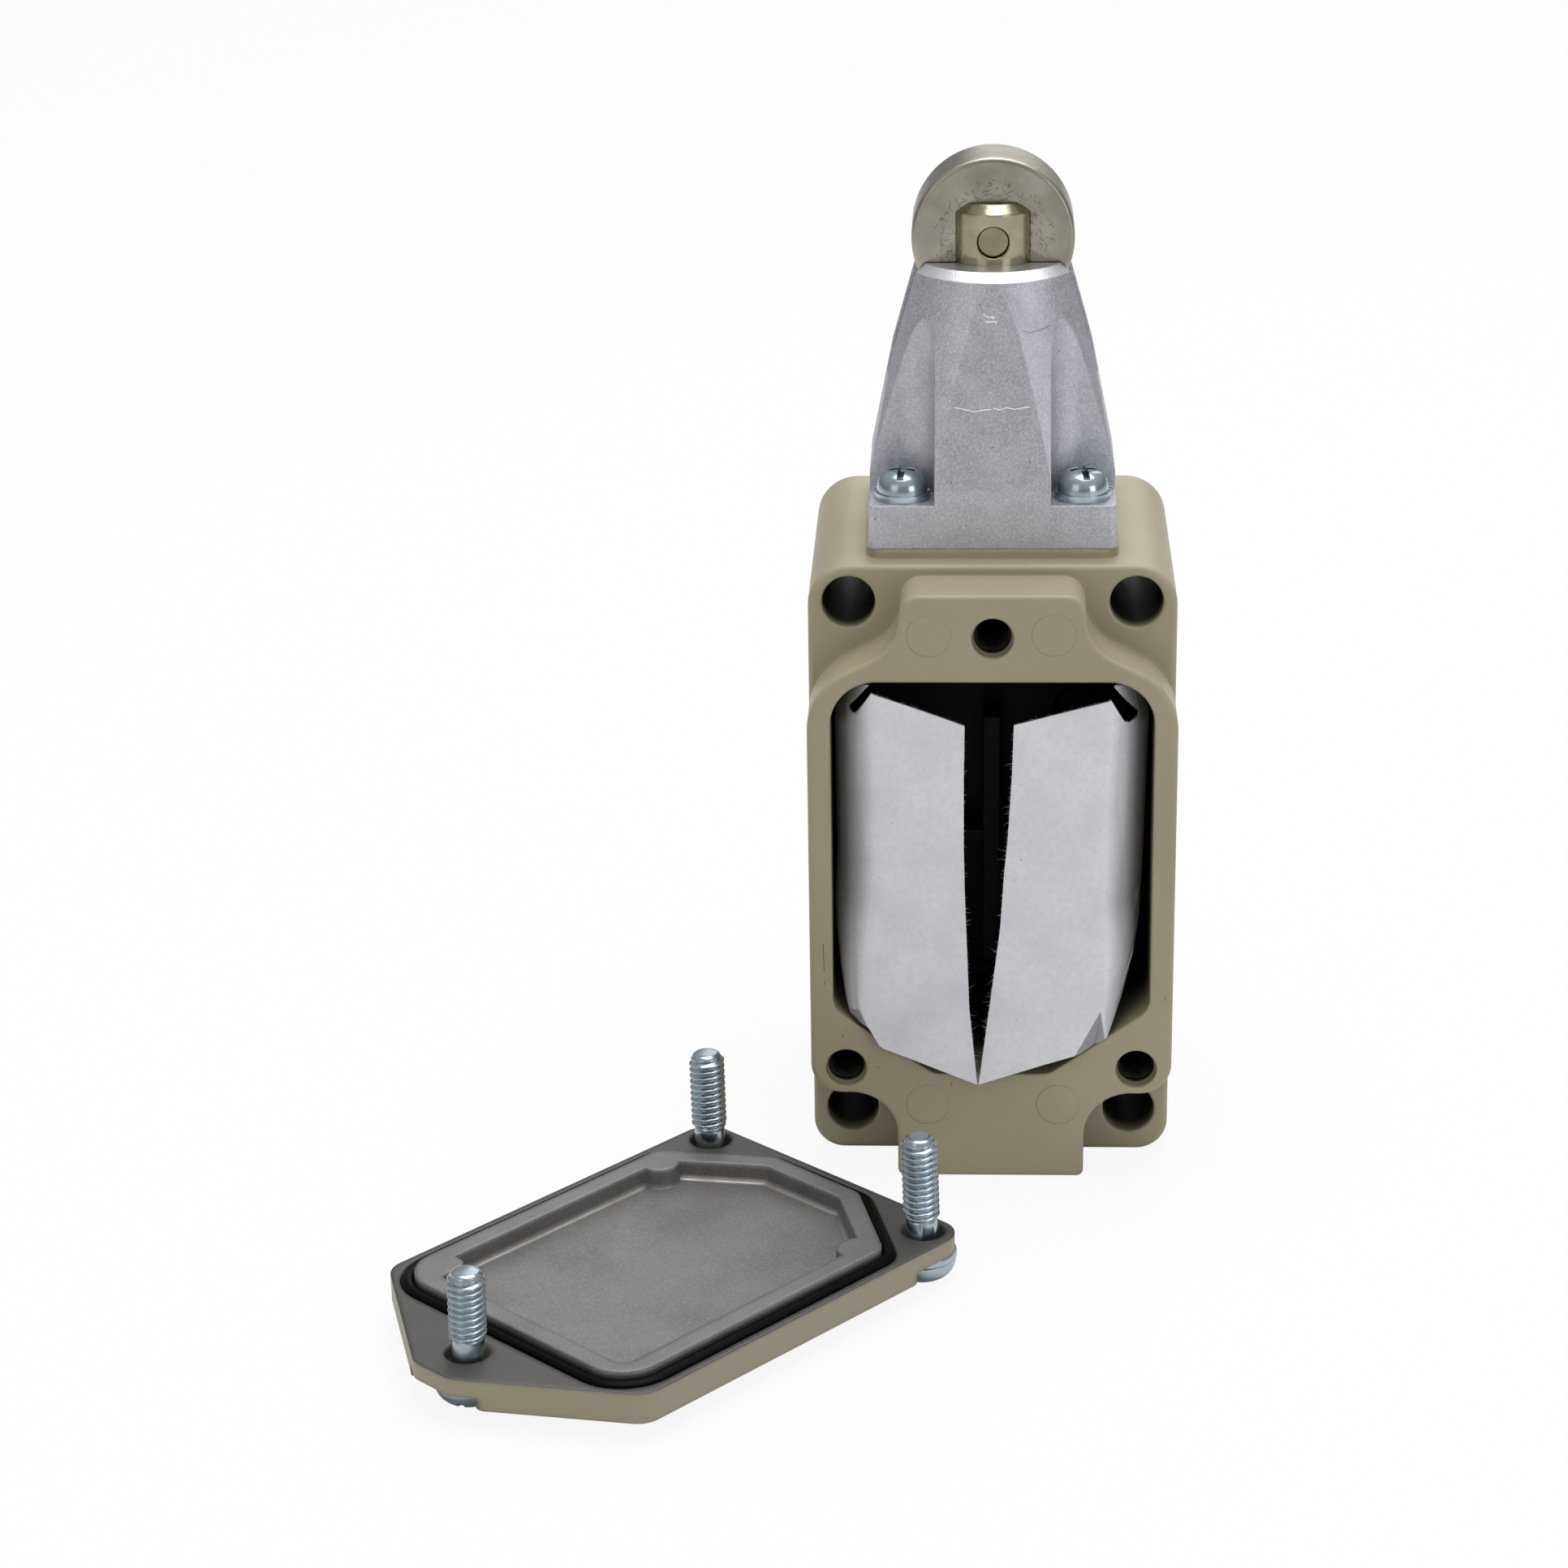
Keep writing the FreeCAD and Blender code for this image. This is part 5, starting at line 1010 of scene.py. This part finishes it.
# %% The lines on the head, the roller and the housing
CREASES = [[(-4.07, 83.6), (-3.2, 83.45), (-1.97, 83.15), (-1.2, 83.3), (-0.12, 83.4)],
           [(0.0, 83.5), (0.7, 83.35), (1.4, 83.57), (2.2, 83.4), (3.92, 83.65)],
           [(-1.15, 93.2), (-0.6, 92.8), (0.3, 92.7)], [(-0.9, 92.3), (0.5, 92.3)],
           [(-0.2, 93.0), (0.4, 91.9)]]
surface_lines("bright_creases", "head", CREASES, 0.09, burr)
dice = random.Random(11)
nicks = [[(x, z), (x + dice.uniform(-0.1, 0.1), z - dice.uniform(0.2, 0.5))]
         for x, z in ((4.3, 84.6), (4.6, 84.2), (8.05, 87.5), (8.2, 86.2), (8.5, 84.8), (-7.7, 87.4),
                      (-7.75, 87.0), (-3.4, 87.9), (-4.8, 80.5), (8.9, 82.0), (4.9, 80.1), (-7.3, 89.2))]
nicks += [[(3.0, 91.4), (3.8, 91.1), (5.0, 91.3), (6.2, 91.5)], [(-9.9, 72.2), (-9.9, 71.6)],
          [(9.9, 75.6), (9.9, 75.1)]]
surface_lines("dark_nicks", "head", nicks, 0.07, grime)
AXLE_HEIGHT = 99.6
scratches = short_lines(420, (0, AXLE_HEIGHT), 2.9, 6.25, 0.85)
surface_lines("roller_scratches", "roller", scratches, 0.07, faint, body="roller")
DIRT = [[(-17.93, 27.6), (-17.9, 26.4), (-17.86, 24.2)], [(-17.8, 23.4), (-17.78, 22.6)],
        [(-17.55, 26.3), (-17.53, 26.1)], [(-17.35, 23.6), (-17.4, 23.2)], [(-17.45, 20.9), (-17.4, 20.6)],
        [(18.6, 20.9), (18.57, 21.8)], [(-16.0, 17.2), (-15.9, 16.4)], [(-15.7, 17.5), (-15.6, 17.1)],
        [(-12.4, 13.1), (-11.9, 12.9)], [(-13.9, 9.6), (-13.2, 9.7)], [(-4.2, 11.4), (-4.25, 10.7)]]
surface_lines("dirt_lines", "housing", DIRT, 0.08, grime)

# %% [markdown]
# ## The camera
#
# The photograph was taken with a long lens from a little above the object. The pose below
# comes from matching the four mounting holes, whose spacing is known, and then the outline.
# The lens is given in pixels of the 1932 pixel frame, which a 36 mm wide sensor turns into a
# focal length.

# %% Put the camera where the photograph was taken
FRAME_PIXELS, LENS_PIXELS, SENSOR = 1932, 4997.05, 36
CAMERA_PLACE = (-1.9912, -419.0464, 200.9639)
PITCH, YAW, ROLL = (radians(a) for a in (-21.3395, -2.8645, -0.9349))
upright = Matrix.Rotation(-YAW, 4, "Z") @ Matrix.Rotation(radians(90) + PITCH, 4, "X")
camera_data = bpy.data.cameras.new("camera")
camera_data.sensor_width = SENSOR
camera_data.lens = LENS_PIXELS / FRAME_PIXELS * SENSOR
camera_data.clip_start = 0.01
camera = show("camera", camera_data)
camera.matrix_world = moved(*CAMERA_PLACE) @ upright @ Matrix.Rotation(ROLL, 4, "Z")
bpy.context.scene.camera = camera
print("lens", round(camera_data.lens, 2), "mm")

# %% [markdown]
# ## Floor and light
#
# The object stands on a plain white floor in a bright room with four soft lamps. The camera
# sees the floor and the room as nearly pure white, through Light Path, while the plain world
# and the lamps light the object.

# %% The floor
SPAN = 3.0
WHITENED = 0.9
floor_mesh = bpy.data.meshes.new("floor")
corners = [(x * SPAN, y * SPAN, 0) for x, y in ((-1, -1), (1, -1), (1, 1), (-1, 1))]
floor_mesh.from_pydata(corners, [], [(0, 1, 2, 3)])
floor = show("floor", floor_mesh)
floor.location.z = -0.02 * MM
paper_white = plain("white_floor", "#e4e4e4", roughness=0.9)
use(paper_white, "Specular IOR Level", 0.0)
path = add_node(paper_white, "ShaderNodeLightPath").outputs
seen = calculate(paper_white, "MAXIMUM", path["Is Camera Ray"], path["Is Transmission Ray"])
glow = add_node(paper_white, "ShaderNodeEmission", {}, {"Color": linear("#ffffff")}).outputs[0]
both = add_node(paper_white, "ShaderNodeMixShader", {}, {
    0: product(paper_white, seen, WHITENED), 1: principled(paper_white).outputs[0], 2: glow}).outputs[0]
feed(paper_white, paper_white.node_tree.nodes["Material Output"].inputs["Surface"], both)
floor_mesh.materials.append(paper_white)

# %% The room
world = bpy.context.scene.world or bpy.data.worlds.new("room")
bpy.context.scene.world = world
world.use_nodes = True
world.node_tree.nodes.clear()
wall = spread(world, axes_of(world, "Generated")["Z"], 0.0, 0.6, 0.32, 0.85)
tint = blend_colours(world, wall, "#4a4640", "#f6f8fb")
ambient = add_node(world, "ShaderNodeBackground", {}, {"Color": tint, "Strength": 0.66}).outputs[0]
backdrop = add_node(world, "ShaderNodeBackground", {}, {"Color": linear("#ffffff")}).outputs[0]
camera_ray = add_node(world, "ShaderNodeLightPath").outputs["Is Camera Ray"]
room = add_node(world, "ShaderNodeMixShader", {}, {0: camera_ray, 1: ambient, 2: backdrop}).outputs[0]
add_node(world, "ShaderNodeOutputWorld", {}, {"Surface": room})
print("floor and room ready")


# %% The lamps
def softbox(name, place, width, watts, colour):
    """A square area lamp at a place in metres, facing the object."""
    data = bpy.data.lights.new(name, "AREA")
    data.shape = "SQUARE"
    data.size = width
    data.energy = watts
    data.color = linear(colour)[:3]
    lamp = show(name, data)
    lamp.location = place
    lamp.rotation_euler = (AIM - Vector(place)).to_track_quat("-Z", "Y").to_euler()


AIM = Vector((-0.01, -0.02, 0.04))
softbox("overhead", (0.06, 0.05, 0.85), 0.7, 5.9, "#ffffff")
softbox("front_left", (-0.55, -0.75, 0.35), 0.5, 0.75, "#fffaf2")
softbox("front_right", (0.6, -0.6, 0.25), 0.35, 0.85, "#f6f9ff")
softbox("behind", (0.15, 0.8, 0.5), 0.6, 1.1, "#ffffff")

# %% The view transform
bpy.context.scene.view_settings.view_transform = "Standard"
